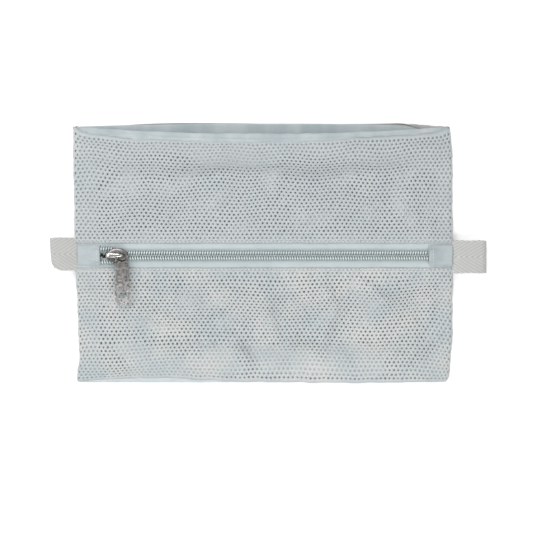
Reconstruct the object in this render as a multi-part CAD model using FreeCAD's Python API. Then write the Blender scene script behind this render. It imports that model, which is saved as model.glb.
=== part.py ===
"""Mesh laundry bag: a flat, zippered wash bag with folded gussets and two webbing loops.

The bag lies on its back panel. +X runs along the zip, +Y to the open gusset's side and
+Z up out of the front panel. The origin is on the back panel's lower face, under the
middle of the zip. Sizes are in millimetres.
"""
import FreeCAD, Part
import os

# ---- the bag ---------------------------------------------------------------
HALF_WIDTH = 121.0          # side seam to the middle of the bag, along the zip
BACK_TOP = 85.3             # back panel's edge at the open gusset, in the middle
BACK_TOP_CORNER = 83.0      # the same edge at the side seams
BACK_BOTTOM = -81.2         # back panel's edge at the folded gusset
MESH_T = 0.8                # knitted mesh cloth
SEAM_GAP = 0.05             # air left between layers that are sewn together
FULL_TO = 106.0             # the zip is level from -FULL_TO to FULL_TO
PUFFED_STATIONS = (-80.0, -40.0, 0.0, 40.0, 80.0)
STATIONS = (-HALF_WIDTH, -FULL_TO, *PUFFED_STATIONS, FULL_TO, HALF_WIDTH)

# ---- the zip ---------------------------------------------------------------
TAPE_T = 0.5
TAPE_INNER = 1.9            # tape edge beside the coils
TAPE_OUTER = 15.0           # tape edge hidden under the front mesh
TAPE_Z = 7.0                # lower face of the tape where the zip is level
TAPE_END_Z = 4.45           # lower face of the tape in the side seam
COIL_WIDTH = 2.9
COIL_HEIGHT = 2.2
COIL_CLOSED = 0.1           # coil to the centre line where the zip is closed
COIL_PARTED = 1.35          # coil to the centre line in front of the slider
COIL_END = 106.3            # coils stop under the end patches
CORD_SIZE = 0.7             # filler cord that the coil is wound round
CORD_OFFSET = 1.7           # coil's inner edge to the cord
THREAD_WIDTH = 0.5
THREAD_HEIGHT = 0.2
THREAD_OFFSET = 2.0         # coil's inner edge to the sewing that holds it
MESH_EDGE = 7.0             # folded mesh edge to the centre line
TOPSTITCH_Y = 8.3

# ---- slider and pull -------------------------------------------------------
NOSE_X = -101.4             # slider's wide end, which meets the parted coils
TAIL_X = -87.2              # slider's narrow end
WING_T = 1.0
LOWER_WING_Z = 5.7
LOWER_WING_T = 1.1
UPPER_WING_Z = 10.05
FLANGE_Z = 7.85             # flanges stop above the tape
CROWN_TOP_Z = 14.6
CROWN_BAR_T = 1.4
CROWN_HALF_WIDTH = 1.15
LEG_HALF_WIDTH = 0.9
LEG_T = 1.6
PIVOT_X = -90.8             # crown's rear leg, which the pull's eye turns round
PULL_Z = 11.25
PULL_T = 1.25
EYE_DROP = 1.2              # eye's middle to the pivot
EYE_R = 2.8
PULL_TOP_R = 4.1
PULL_END_R = 4.8
PULL_RUN = 25.0             # eye's middle to the middle of the far end's arc
GRIP_HALF_WIDTH = 3.05
GRIP_TOP = 20.9             # eye's middle to the grip hole's straight edge
GRIP_CORNER_R = 1.2

# ---- end patches, webbing loops and side seams -----------------------------
PATCH_T = 0.6
PATCH_EDGE = 105.0
PATCH_HALF = 6.9
PATCH_STITCH_X = 107.0
WEB_T = 1.2
WEB_HALF = 10.25            # half of 20.5 mm webbing
WEB_SEAM_Z = 2.0
WEB_ROOT = 110.0            # how far the loops' ends reach into the side seams
LOOP_LOW_Z = 0.5
LOOP_REACH_LEFT = 136.3
LOOP_REACH_RIGHT = 143.0
BINDING_WIDTH = 7.5
BINDING_HALF = 54.0
BINDING_T = 1.15

# Height of the front cloth's upper face: (distance from the zip, in the side seam,
# in the middle of the bag).
UPPER_PROFILE = (
    (MESH_EDGE, 5.8, 8.35),
    (TAPE_OUTER, 5.8, 8.5),
    (25.0, 3.5, 10.2),
    (50.0, 3.0, 8.0),
    (61.0, 3.0, 15.0),
)
UPPER_FRONT_SEAM = ((83.0, 3.0), (71.6, 16.0))     # at the side seam, in the middle
LOWER_PROFILE = (
    (MESH_EDGE, 5.8, 8.35),
    (TAPE_OUTER, 5.8, 8.5),
    (25.0, 3.5, 10.2),
    (50.0, 3.0, 8.0),
    (62.0, 3.0, 12.5),
)
LOWER_FRONT_SEAM = ((81.2, 3.0), (79.4, 10.5))

# Sections of the V-folded gussets, as (distance from the zip, height): in the side
# seam the fold is pressed flat, in the middle it stands open.
TOP_GUSSET_FLAT = (
    (83.0, 0.85), (56.5, 0.85), (56.5, 2.1), (83.0, 2.1),
    (83.0, 1.5), (57.3, 1.5), (57.3, 1.45), (83.0, 1.45),
)
TOP_GUSSET_OPEN = (
    (85.3, 0.85), (56.5, 3.2), (56.4, 4.3), (71.6, 15.1),
    (72.3, 14.7), (57.6, 4.2), (57.8, 3.85), (85.3, 1.45),
)
BOTTOM_GUSSET_FLAT = (
    (81.2, 0.85), (56.5, 0.85), (56.5, 2.1), (81.2, 2.1),
    (81.2, 1.5), (57.3, 1.5), (57.3, 1.45), (81.2, 1.45),
)
BOTTOM_GUSSET_OPEN = (
    (81.2, 0.85), (56.5, 3.2), (56.4, 4.3), (80.2, 9.6),
    (80.3, 9.0), (57.6, 4.2), (57.8, 3.85), (81.2, 1.45),
)

# Sewing inside the gusset seams, on the puffed stretch of the bag.
SEAM_THREAD_W = 0.5
SEAM_THREAD_H = 0.25
FRONT_THREAD_INSET = 2.0    # front seam to its sewing
TOP_THREAD_DROP = 0.4       # front mesh's lower face to its sewing, open gusset
BOTTOM_THREAD_DROP = 0.15   # the same, folded gusset
BACK_THREAD_INSET = 5.5     # back panel's edge to its sewing


def puff(x):
    """How far the bag is filled out at x: 0 in the side seams, 1 in the middle."""
    return 1.0 - (abs(x) / HALF_WIDTH) ** 2.4


def mixed(flat, full, share):
    return flat + (full - flat) * share


def save(shape, name):
    shape.exportStep(f"parts/{name}.step")
    print(f"{name:26s} {len(shape.Solids)} solid  {shape.Volume:10.1f} mm3")


def face_of(points):
    """A face from a closed run of points."""
    corners = [FreeCAD.Vector(*p) for p in points]
    return Part.Face(Part.makePolygon(corners + corners[:1]))


def prism_z(outline, low, high):
    """An XY outline raised from low to high."""
    face = face_of([(x, y, low) for x, y in outline])
    return face.extrude(FreeCAD.Vector(0, 0, high - low))


def prism_y(outline, low, high):
    """An XZ outline drawn out along Y."""
    face = face_of([(x, low, z) for x, z in outline])
    return face.extrude(FreeCAD.Vector(0, high - low, 0))


def box(low, high):
    size = [b - a for a, b in zip(low, high)]
    return Part.makeBox(*size, FreeCAD.Vector(*low))


def loft_along_x(section_at, side, stations=STATIONS):
    """A solid through the (distance, height) sections at the stations, on one side."""
    wires = []
    for x in stations:
        points = [FreeCAD.Vector(x, side * y, z) for y, z in section_at(x)]
        wires.append(Part.makePolygon(points + points[:1]))
    solid = Part.makeLoft(wires, True, True)
    if solid.Volume < 0:
        solid.reverse()
    return solid


# ---- cloth -----------------------------------------------------------------
def front_height(row, x):
    """Upper face of the front cloth at x for one row of a profile."""
    distance, in_seam, in_middle = row
    if distance <= TAPE_OUTER:
        level = 1.0 if abs(x) <= FULL_TO else 0.0
        return mixed(in_seam, in_middle, level)
    return mixed(in_seam, in_middle, puff(x))


def front_edge(seam, x):
    (y_flat, z_flat), (y_full, z_full) = seam
    return mixed(y_flat, y_full, puff(x)), mixed(z_flat, z_full, puff(x))


def front_mesh(profile, seam, side):
    def section(x):
        top = [(row[0], front_height(row, x)) for row in profile]
        top.append(front_edge(seam, x))
        bottom = [(y, z - MESH_T) for y, z in reversed(top)]
        return top + bottom

    return loft_along_x(section, side)


def back_mesh():
    """A flat panel whose open-gusset edge is an arc."""
    low_left = FreeCAD.Vector(-HALF_WIDTH, BACK_BOTTOM, 0)
    low_right = FreeCAD.Vector(HALF_WIDTH, BACK_BOTTOM, 0)
    top_left = FreeCAD.Vector(-HALF_WIDTH, BACK_TOP_CORNER, 0)
    top_right = FreeCAD.Vector(HALF_WIDTH, BACK_TOP_CORNER, 0)
    top = FreeCAD.Vector(0, BACK_TOP, 0)
    edges = [
        Part.LineSegment(top_left, low_left).toShape(),
        Part.LineSegment(low_left, low_right).toShape(),
        Part.LineSegment(low_right, top_right).toShape(),
        Part.Arc(top_right, top, top_left).toShape(),
    ]
    return Part.Face(Part.Wire(edges)).extrude(FreeCAD.Vector(0, 0, MESH_T))


def gusset(flat, full, side):
    def section(x):
        share = puff(x)
        return [
            (mixed(a[0], b[0], share), mixed(a[1], b[1], share))
            for a, b in zip(flat, full)
        ]

    return loft_along_x(section, side)


def front_seam_thread(seam, side, drop):
    """Sewing that joins the front mesh to a gusset, on the inside."""
    def section(x):
        y, z = front_edge(seam, x)
        near = y - FRONT_THREAD_INSET - SEAM_THREAD_W
        far = y - FRONT_THREAD_INSET
        top = z - MESH_T - drop
        low = top - SEAM_THREAD_H
        return [(near, top), (far, top), (far, low), (near, low)]

    return loft_along_x(section, side, PUFFED_STATIONS)


def back_seam_thread(edge, side):
    """Sewing that joins the back panel to a gusset, between the two."""
    inner = abs(edge) - BACK_THREAD_INSET
    low_y, high_y = sorted((side * inner, side * (inner + SEAM_THREAD_W)))
    ends = PUFFED_STATIONS[0], PUFFED_STATIONS[-1]
    return box((ends[0], low_y, MESH_T), (ends[1], high_y, MESH_T + SEAM_THREAD_H))


def side_binding(side):
    """Tape that binds the raw cloth edges inside a side seam."""
    low_x, high_x = sorted((side * HALF_WIDTH, side * (HALF_WIDTH - BINDING_WIDTH)))
    top = MESH_T + BINDING_T
    return box((low_x, -BINDING_HALF, MESH_T), (high_x, BINDING_HALF, top))


def side_seam_thread(side):
    """Overlock sewing along the inner edge of a side binding."""
    edge = HALF_WIDTH - BINDING_WIDTH
    low_x, high_x = sorted((side * edge, side * (edge - SEAM_THREAD_W)))
    top = MESH_T + BINDING_T
    return box((low_x, -BINDING_HALF, MESH_T), (high_x, BINDING_HALF, top))


# ---- zip -------------------------------------------------------------------
def tape_height(x):
    """Lower face of the zip tape at x: level, then down into the side seam."""
    share = max(0.0, abs(x) - FULL_TO) / (HALF_WIDTH - FULL_TO)
    return mixed(TAPE_Z, TAPE_END_Z, share)


def zip_tape(side):
    turns = (-HALF_WIDTH, -FULL_TO, FULL_TO, HALF_WIDTH)
    low = [(x, tape_height(x)) for x in turns]
    high = [(x, z + TAPE_T) for x, z in reversed(low)]
    near, far = sorted((side * TAPE_INNER, side * TAPE_OUTER))
    return prism_y(low + high, near, far)


def along_coil(side, inner, width, low, high, end=COIL_END):
    """A strip that follows a coil: parted in front of the slider, closed behind it."""
    parted_to = NOSE_X + 2.9
    closed_from = parted_to + 5.5
    path = (
        (-end, COIL_PARTED),
        (parted_to, COIL_PARTED),
        (closed_from, COIL_CLOSED),
        (end, COIL_CLOSED),
    )
    near = [(x, side * (gap + inner)) for x, gap in path]
    far = [(x, side * (gap + inner + width)) for x, gap in reversed(path)]
    return prism_z(near + far, low, high)


def coil_base():
    return TAPE_Z + TAPE_T


def filler_cord(side):
    low = coil_base() + 0.5 * (COIL_HEIGHT - CORD_SIZE)
    return along_coil(side, CORD_OFFSET, CORD_SIZE, low, low + CORD_SIZE)


def zip_coil(side):
    low = coil_base()
    strip = along_coil(side, 0.0, COIL_WIDTH, low, low + COIL_HEIGHT)
    return strip.cut(filler_cord(side))


def coil_thread(side):
    low = coil_base() + COIL_HEIGHT
    return along_coil(
        side, THREAD_OFFSET, THREAD_WIDTH, low, low + THREAD_HEIGHT, COIL_END - 1.0
    )


def zip_topstitch(side):
    """Sewing that holds the folded mesh edge on the tape."""
    near, far = sorted((side * TOPSTITCH_Y, side * (TOPSTITCH_Y + THREAD_WIDTH)))
    slope = (UPPER_PROFILE[1][2] - UPPER_PROFILE[0][2]) / (TAPE_OUTER - MESH_EDGE)
    rise = slope * (TOPSTITCH_Y + THREAD_WIDTH - MESH_EDGE)
    low = UPPER_PROFILE[0][2] + rise
    return box((-PATCH_EDGE, near, low), (PATCH_EDGE, far, low + THREAD_HEIGHT))


def zip_end_patch(side):
    """Smooth cloth folded over the end of the zip and sewn into the side seam."""
    over_coil = coil_base() + COIL_HEIGHT + THREAD_HEIGHT + SEAM_GAP
    seam_z = TAPE_END_Z + TAPE_T + SEAM_GAP
    step_x = PATCH_EDGE + 3.2
    step_z = tape_height(step_x) + TAPE_T + 2 * SEAM_GAP
    outline = (
        (PATCH_EDGE, over_coil),
        (COIL_END + 0.8, over_coil),
        (step_x, step_z),
        (HALF_WIDTH, seam_z),
        (HALF_WIDTH, seam_z + PATCH_T),
        (step_x + 0.8, step_z + PATCH_T),
        (COIL_END + 1.4, over_coil + PATCH_T),
        (PATCH_EDGE, over_coil + PATCH_T),
    )
    return prism_y([(side * x, z) for x, z in outline], -PATCH_HALF, PATCH_HALF)


def patch_stitch(side):
    """Row of sewing across an end patch."""
    low = coil_base() + COIL_HEIGHT + THREAD_HEIGHT + SEAM_GAP + PATCH_T
    low_x, high_x = sorted((side * (PATCH_STITCH_X - THREAD_WIDTH), side * PATCH_STITCH_X))
    return box((low_x, -PATCH_HALF, low), (high_x, PATCH_HALF, low + THREAD_HEIGHT))


# ---- slider ----------------------------------------------------------------
def slider_outline(inset=0.0):
    """Shield shape of the slider's wings, wide towards the parted coils."""
    side = (
        (NOSE_X + inset, 1.3 - inset),
        (NOSE_X + 2.9, 4.0 - inset),
        (NOSE_X + 5.4, 4.9 - inset),
        (TAIL_X - 4.6, 4.5 - inset),
        (TAIL_X - 1.0, 4.1 - inset),
        (TAIL_X - inset, 3.2 - inset),
    )
    return list(side) + [(x, -y) for x, y in reversed(side)]


def coil_channel(low, high):
    """Y-shaped way through the slider that the two coils run in."""
    wide, narrow = 4.25, 3.35
    side = (
        (NOSE_X - 1.0, wide),
        (NOSE_X + 3.9, wide),
        (TAIL_X - 4.8, narrow),
        (TAIL_X + 1.0, narrow),
    )
    return prism_z(list(side) + [(x, -y) for x, y in reversed(side)], low, high)


def slider_body():
    """Two wings joined by the post that parts the coils, with flanges at the sides."""
    lower_top = LOWER_WING_Z + LOWER_WING_T
    lower = prism_z(slider_outline(0.2), LOWER_WING_Z, lower_top)
    upper = prism_z(slider_outline(), UPPER_WING_Z, UPPER_WING_Z + WING_T)
    flanges = prism_z(slider_outline(), FLANGE_Z, UPPER_WING_Z)
    flanges = flanges.cut(coil_channel(FLANGE_Z - 1.0, UPPER_WING_Z))
    half_post = ((NOSE_X + 0.3, 0.7), (NOSE_X + 2.1, 1.2), (NOSE_X + 4.8, 0.15))
    post = prism_z(
        list(half_post) + [(x, -y) for x, y in reversed(half_post)],
        lower_top,
        UPPER_WING_Z,
    )
    return upper.fuse([flanges, post, lower]).removeSplitter()


def slider_crown():
    """Arch over the upper wing, with a rear leg that goes through the pull's eye."""
    foot = UPPER_WING_Z + WING_T
    bar_low = CROWN_TOP_Z - CROWN_BAR_T
    rear = PIVOT_X + 0.5 * LEG_T
    front = NOSE_X + 0.2
    corner = 1.3
    bar = prism_y(
        (
            (front, bar_low),
            (front + 0.3 * corner, CROWN_TOP_Z - corner),
            (front + corner, CROWN_TOP_Z - 0.3 * corner),
            (front + 2 * corner, CROWN_TOP_Z),
            (rear - 2 * corner, CROWN_TOP_Z),
            (rear - corner, CROWN_TOP_Z - 0.3 * corner),
            (rear - 0.3 * corner, CROWN_TOP_Z - corner),
            (rear, bar_low),
        ),
        -CROWN_HALF_WIDTH,
        CROWN_HALF_WIDTH,
    )
    legs = [
        box((front, -LEG_HALF_WIDTH, foot), (front + LEG_T, LEG_HALF_WIDTH, bar_low)),
        box((rear - LEG_T, -LEG_HALF_WIDTH, foot), (rear, LEG_HALF_WIDTH, bar_low)),
    ]
    return bar.fuse(legs).removeSplitter()


def pull_tab():
    """Flat pull that lies across the zip, with an eye at the crown and a grip hole."""
    eye_y = -EYE_DROP
    end_y = eye_y - PULL_RUN
    left, right = PIVOT_X - PULL_TOP_R, PIVOT_X + PULL_TOP_R
    end_left, end_right = PIVOT_X - PULL_END_R, PIVOT_X + PULL_END_R

    def at(x, y):
        return FreeCAD.Vector(x, y, PULL_Z)

    rim = Part.Wire([
        Part.Arc(at(left, eye_y), at(PIVOT_X, eye_y + PULL_TOP_R), at(right, eye_y)).toShape(),
        Part.LineSegment(at(right, eye_y), at(end_right, end_y)).toShape(),
        Part.Arc(at(end_right, end_y), at(PIVOT_X, end_y - PULL_END_R), at(end_left, end_y)).toShape(),
        Part.LineSegment(at(end_left, end_y), at(left, eye_y)).toShape(),
    ])
    plate = Part.Face(rim).extrude(FreeCAD.Vector(0, 0, PULL_T))
    eye = Part.makeCylinder(EYE_R, PULL_T, at(PIVOT_X, eye_y))
    grip_top = eye_y - GRIP_TOP
    grip = Part.makeCylinder(GRIP_HALF_WIDTH, PULL_T, at(PIVOT_X, end_y))
    grip = grip.fuse(
        box(
            (PIVOT_X - GRIP_HALF_WIDTH, end_y, PULL_Z),
            (PIVOT_X + GRIP_HALF_WIDTH, grip_top, PULL_Z + PULL_T),
        )
    ).removeSplitter()
    corners = [
        edge
        for edge in grip.Edges
        if abs(edge.Vertexes[0].Y - grip_top) < 1e-6
        and abs(edge.Vertexes[-1].Y - grip_top) < 1e-6
        and abs(edge.Vertexes[0].Z - edge.Vertexes[-1].Z) > 1e-6
    ]
    grip = grip.makeFillet(GRIP_CORNER_R, corners)
    return plate.cut(eye).cut(grip)


# ---- webbing loops ---------------------------------------------------------
def loop_shape(points, arc):
    """A face in the XZ plane from a run of points closed by an arc at its end."""
    start, middle, end = [FreeCAD.Vector(x, -WEB_HALF, z) for x, z in arc]
    corners = [FreeCAD.Vector(x, -WEB_HALF, z) for x, z in points]
    run = Part.makePolygon([end] + corners + [start])
    wire = Part.Wire(run.Edges + [Part.Arc(start, middle, end).toShape()])
    return Part.Face(wire)


def web_loop(side, reach):
    """Webbing folded in half round an open loop, its two ends in the side seam."""
    root_top = WEB_SEAM_Z + 2 * WEB_T
    outer_r = 3.4
    inner_r = outer_r - WEB_T
    centre_z = LOOP_LOW_Z + outer_r
    centre_x = reach - outer_r
    fork_x = HALF_WIDTH + 1.5
    wide_x = HALF_WIDTH + 4.6
    outer = loop_shape(
        [
            (side * wide_x, centre_z + outer_r),
            (side * HALF_WIDTH, root_top),
            (side * WEB_ROOT, root_top),
            (side * WEB_ROOT, WEB_SEAM_Z),
            (side * HALF_WIDTH, WEB_SEAM_Z),
            (side * wide_x, LOOP_LOW_Z),
        ],
        [
            (side * centre_x, LOOP_LOW_Z),
            (side * reach, centre_z),
            (side * centre_x, centre_z + outer_r),
        ],
    )
    inner = loop_shape(
        [
            (side * (wide_x + 0.6), centre_z + inner_r),
            (side * fork_x, WEB_SEAM_Z + WEB_T),
            (side * (wide_x + 0.6), centre_z - inner_r),
        ],
        [
            (side * centre_x, centre_z - inner_r),
            (side * (centre_x + inner_r), centre_z),
            (side * centre_x, centre_z + inner_r),
        ],
    )
    way = FreeCAD.Vector(0, 2 * WEB_HALF, 0)
    return outer.extrude(way).cut(inner.extrude(way))


# ---- the whole bag ---------------------------------------------------------
def build():
    os.makedirs("parts", exist_ok=True)
    save(back_mesh(), "back_mesh")
    save(front_mesh(UPPER_PROFILE, UPPER_FRONT_SEAM, 1), "front_mesh_upper")
    save(front_mesh(LOWER_PROFILE, LOWER_FRONT_SEAM, -1), "front_mesh_lower")
    save(gusset(TOP_GUSSET_FLAT, TOP_GUSSET_OPEN, 1), "top_gusset")
    save(gusset(BOTTOM_GUSSET_FLAT, BOTTOM_GUSSET_OPEN, -1), "bottom_gusset")
    save(front_seam_thread(UPPER_FRONT_SEAM, 1, TOP_THREAD_DROP), "top_front_seam_thread")
    save(back_seam_thread(BACK_TOP, 1), "top_back_seam_thread")
    bottom_thread = front_seam_thread(LOWER_FRONT_SEAM, -1, BOTTOM_THREAD_DROP)
    save(bottom_thread, "bottom_front_seam_thread")
    save(back_seam_thread(BACK_BOTTOM, -1), "bottom_back_seam_thread")
    for side, name in ((-1, "left"), (1, "right")):
        save(side_binding(side), f"side_binding_{name}")
        save(side_seam_thread(side), f"side_seam_thread_{name}")
        save(zip_end_patch(side), f"zip_end_patch_{name}")
        save(patch_stitch(side), f"patch_stitch_{name}")
    for side, name in ((1, "upper"), (-1, "lower")):
        save(zip_tape(side), f"zip_tape_{name}")
        save(zip_coil(side), f"zip_coil_{name}")
        save(filler_cord(side), f"coil_cord_{name}")
        save(coil_thread(side), f"coil_thread_{name}")
        save(zip_topstitch(side), f"zip_topstitch_{name}")
    save(web_loop(-1, LOOP_REACH_LEFT), "web_loop_left")
    save(web_loop(1, LOOP_REACH_RIGHT), "web_loop_right")
    save(slider_body(), "slider_body")
    save(slider_crown(), "slider_crown")
    save(pull_tab(), "pull_tab")


build()
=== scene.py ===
"""Looks of the mesh laundry bag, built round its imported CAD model.

Lengths inside the builders are in millimetres; mesh_piece turns them into metres. The
bag lies on its back, +X runs along the zip, +Y to the open gusset and +Z to the camera.
"""
from math import cos, pi, radians, sin
import bpy
import numpy as np
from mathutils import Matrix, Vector, noise


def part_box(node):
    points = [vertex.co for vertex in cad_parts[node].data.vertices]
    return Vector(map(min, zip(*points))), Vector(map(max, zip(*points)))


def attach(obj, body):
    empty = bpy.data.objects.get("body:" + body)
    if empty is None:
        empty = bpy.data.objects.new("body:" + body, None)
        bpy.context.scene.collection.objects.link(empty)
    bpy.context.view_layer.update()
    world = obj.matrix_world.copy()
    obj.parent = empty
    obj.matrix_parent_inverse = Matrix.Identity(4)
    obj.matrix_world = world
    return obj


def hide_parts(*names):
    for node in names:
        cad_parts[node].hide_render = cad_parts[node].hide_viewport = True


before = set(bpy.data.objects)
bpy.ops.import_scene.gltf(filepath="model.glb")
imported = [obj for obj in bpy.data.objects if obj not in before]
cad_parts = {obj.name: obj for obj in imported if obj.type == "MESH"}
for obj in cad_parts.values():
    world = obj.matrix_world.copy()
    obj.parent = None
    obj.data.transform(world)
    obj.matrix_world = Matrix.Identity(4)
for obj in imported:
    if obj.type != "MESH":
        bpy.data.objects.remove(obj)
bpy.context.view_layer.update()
MM = 0.001
CLOTH_MAP = "cloth"         # UV layer: millimetres across and along the cloth


# ============================================================ the CAD's sizes
def node_box(name):
    """A CAD node's lowest and highest corners, in millimetres."""
    low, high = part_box(name)
    return np.array(low) / MM, np.array(high) / MM


mesh_high = node_box("front_mesh_upper")[1]
back_low, back_high = node_box("back_mesh")
tape_high = node_box("zip_tape_upper")[1]
coil_high = node_box("zip_coil_upper")[1]
patch_low, patch_high = node_box("zip_end_patch_right")
slider_low, slider_high = node_box("slider_body")
crown_low, crown_high = node_box("slider_crown")
pull_low, pull_high = node_box("pull_tab")
left_loop_low = node_box("web_loop_left")[0]
loop_high = node_box("web_loop_right")[1]

HALF_WIDTH = mesh_high[0]
BACK_TOP = back_high[1]
BACK_BOTTOM = back_low[1]
TAPE_TOP = tape_high[2]
COIL_TOP = coil_high[2]
COIL_MIDDLE = 0.5 * (TAPE_TOP + COIL_TOP)
PATCH_EDGE = patch_low[0]
PUFF_POWER = 2.4            # the higher, the further out the bag stays filled
# Painted light: the pull's colour is painted lighter towards its end.
PULL_PAINTED_LIGHT_SPAN = (pull_high[1] - 9.0, pull_low[1])       # the pull is lighter towards its end


def puff(x):
    """How far the bag is filled out at x: 0 in the side seams, 1 in the middle."""
    return np.clip(1.0 - (np.abs(x) / HALF_WIDTH) ** PUFF_POWER, 0.0, 1.0)


# ============================================================ mesh helpers
def put_in_scene(name, data):
    """A new object with this mesh, light, curve or camera, in the scene."""
    thing = bpy.data.objects.new(name, data)
    bpy.context.scene.collection.objects.link(thing)
    return thing


def mesh_piece(name, points, faces, material, slot, uv=None, body="bag", smooth=True):
    """A mesh object from points in millimetres, riding on a body."""
    mesh = bpy.data.meshes.new(name)
    mesh.from_pydata((np.asarray(points, float) * MM).tolist(), [], faces)
    mesh.validate()
    if uv is not None:
        corner = np.empty(len(mesh.loops), dtype=np.int32)
        mesh.loops.foreach_get("vertex_index", corner)
        layer = mesh.uv_layers.new(name=CLOTH_MAP)
        layer.data.foreach_set("uv", np.asarray(uv, float)[corner].ravel())
    mesh.polygons.foreach_set("use_smooth", [smooth] * len(mesh.polygons))
    mesh.materials.append(material)
    piece = put_in_scene(name, mesh)
    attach(piece, body)
    return piece


def grid_faces(columns, rows, start=0, flip=False):
    """Quads of a grid of points stored column by column."""
    faces = []
    for i in range(columns - 1):
        for j in range(rows - 1):
            a = start + i * rows + j
            quad = [a, a + rows, a + rows + 1, a + 1]
            faces.append(quad[::-1] if flip else quad)
    return faces


def point_grid(x, y, z):
    """A grid of points; each coordinate is given in full, by column or by row."""
    return np.stack(np.broadcast_arrays(x, y, z), axis=2)


def grid_normals(grid):
    """Unit normals of a grid of points."""
    across = np.gradient(grid, axis=0)
    along = np.gradient(grid, axis=1)
    normal = np.cross(across, along)
    return normal / np.maximum(np.linalg.norm(normal, axis=2, keepdims=True), 1e-9)


def sheet_mesh(grid, thickness, uv):
    """Points, faces and UVs of a closed sheet whose upper face is the grid."""
    columns, rows = grid.shape[:2]
    under = grid - grid_normals(grid) * thickness
    count = columns * rows
    points = np.vstack([grid.reshape(-1, 3), under.reshape(-1, 3)])
    faces = grid_faces(columns, rows)
    faces += grid_faces(columns, rows, count, flip=True)
    rim = [i * rows for i in range(columns)]
    rim += [(columns - 1) * rows + j for j in range(1, rows)]
    rim += [i * rows + rows - 1 for i in range(columns - 2, -1, -1)]
    rim += [j for j in range(rows - 2, 0, -1)]
    for a, b in zip(rim, rim[1:] + rim[:1]):
        faces.append([b, a, a + count, b + count])
    uvs = np.vstack([uv.reshape(-1, 2)] * 2)
    return points, faces, uvs


def sheet_piece(name, grid, thickness, uv, material, slot, body="bag"):
    """A closed sheet, whose upper face is the grid, as a piece."""
    points, faces, uvs = sheet_mesh(grid, thickness, uv)
    return mesh_piece(name, points, faces, material, slot, uvs, body)


def flat_grid(across, along):
    """Flat coordinates of a grid, from its distances across and along."""
    return np.stack(np.meshgrid(across, along, indexing="ij"), axis=2)


def add_part(name, node, mesh, material, slot):
    """A piece from (points, faces) that takes the place of a CAD node."""
    piece = mesh_piece(name, *mesh, material, slot)
    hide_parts(node)


def ring_faces(rings, sides):
    """Faces of a closed tube whose points are stored ring by ring."""
    faces = []
    for i in range(rings - 1):
        for k in range(sides):
            a, b = i * sides + k, i * sides + (k + 1) % sides
            faces.append([a, b, b + sides, a + sides])
    last = (rings - 1) * sides
    faces.append(list(range(sides))[::-1])
    faces.append([last + k for k in range(sides)])
    return faces


def tube_mesh(path, radius, sides):
    """Points and faces of a round tube along a run of points."""
    path = np.asarray(path, float)
    along = np.gradient(path, axis=0)
    along /= np.maximum(np.linalg.norm(along, axis=1, keepdims=True), 1e-9)
    up = np.array([0.0, 0.0, 1.0])
    out = np.cross(along, up)
    out /= np.maximum(np.linalg.norm(out, axis=1, keepdims=True), 1e-9)
    over = np.cross(out, along)
    angles = np.arange(sides) * 2 * pi / sides
    radius = np.broadcast_to(radius, (len(path),))[:, None, None]
    ring = out[:, None] * np.cos(angles)[None, :, None]
    ring = ring + over[:, None] * np.sin(angles)[None, :, None]
    points = (path[:, None] + ring * radius).reshape(-1, 3)
    return points, ring_faces(len(path), sides)


def joined(parts):
    """One list of points and faces from several (points, faces)."""
    points, faces, start = [], [], 0
    for part_points, part_faces in parts:
        points.append(part_points)
        faces += [[start + k for k in face] for face in part_faces]
        start += len(part_points)
    return np.vstack(points), faces


def stitch(centre, direction, length, radius, bow=0.0):
    """One stitch: a short rounded thread that may bow upward in its middle."""
    share = np.array([-0.5, -0.46, -0.36, 0.0, 0.36, 0.46, 0.5])
    width = np.array([0.25, 0.7, 0.95, 1.0, 0.95, 0.7, 0.25])
    direction = np.asarray(direction, float) / np.linalg.norm(direction)
    path = np.asarray(centre, float) + share[:, None] * direction * length
    path[:, 2] += bow * (1.0 - (2.0 * share) ** 2)
    return tube_mesh(path, width * radius, 6)


def stitch_line(place, start, end, length, gap, radius, bow=0.1):
    """Stitches end to end; place turns distances along the line into points."""
    count = int((end - start) / (length + gap))
    centres = start + (np.arange(count) + 0.5) * (length + gap)
    before, after = place(centres - 0.5), place(centres + 0.5)
    return joined([
        stitch(0.5 * (a + b), b - a, length, radius, bow) for a, b in zip(before, after)
    ])


# ============================================================ materials
def new_material(name):
    """A material with its node tree and its shader."""
    material = bpy.data.materials.new(name)
    material.use_nodes = True
    tree = material.node_tree
    shader = tree.nodes["Principled BSDF"]
    return material, tree, shader


def add(tree, kind, inputs=(), **settings):
    """A node with some settings and input values or links."""
    node = tree.nodes.new(kind)
    for key, value in settings.items():
        setattr(node, key, value)
    for key, value in dict(inputs).items():
        if isinstance(value, bpy.types.NodeSocket):
            tree.links.new(value, node.inputs[key])
        else:
            node.inputs[key].default_value = value
    return node


def cloth_coordinates(tree):
    """Millimetres across and along the cloth."""
    return add(tree, "ShaderNodeUVMap", uv_map=CLOTH_MAP).outputs["UV"]


def object_coordinates(tree, scale=1.0 / MM):
    """Object coordinates, in millimetres unless another scale is given."""
    place = add(tree, "ShaderNodeTexCoord").outputs["Object"]
    scaled = add(tree, "ShaderNodeVectorMath", {0: place, "Scale": scale}, operation="SCALE")
    return scaled.outputs[0]


def stretched(tree, vector, scale):
    """Coordinates scaled on each axis."""
    node = add(tree, "ShaderNodeMapping", {"Vector": vector, "Scale": scale})
    return node.outputs["Vector"]


def noise_of(tree, vector, scale, detail=3.0, rough=0.55):
    """Soft noise from 0 to 1."""
    node = add(
        tree, "ShaderNodeTexNoise",
        {"Vector": vector, "Scale": scale, "Detail": detail, "Roughness": rough},
    )
    return node.outputs["Fac"]


def bands_of(tree, vector, scale, direction, distortion):
    """Straight bands from 0 to 1, crossing the given axis."""
    node = add(
        tree, "ShaderNodeTexWave",
        {"Vector": vector, "Scale": scale, "Distortion": distortion, "Detail": 1.0},
        bands_direction=direction,
    )
    return node.outputs["Fac"]


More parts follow.
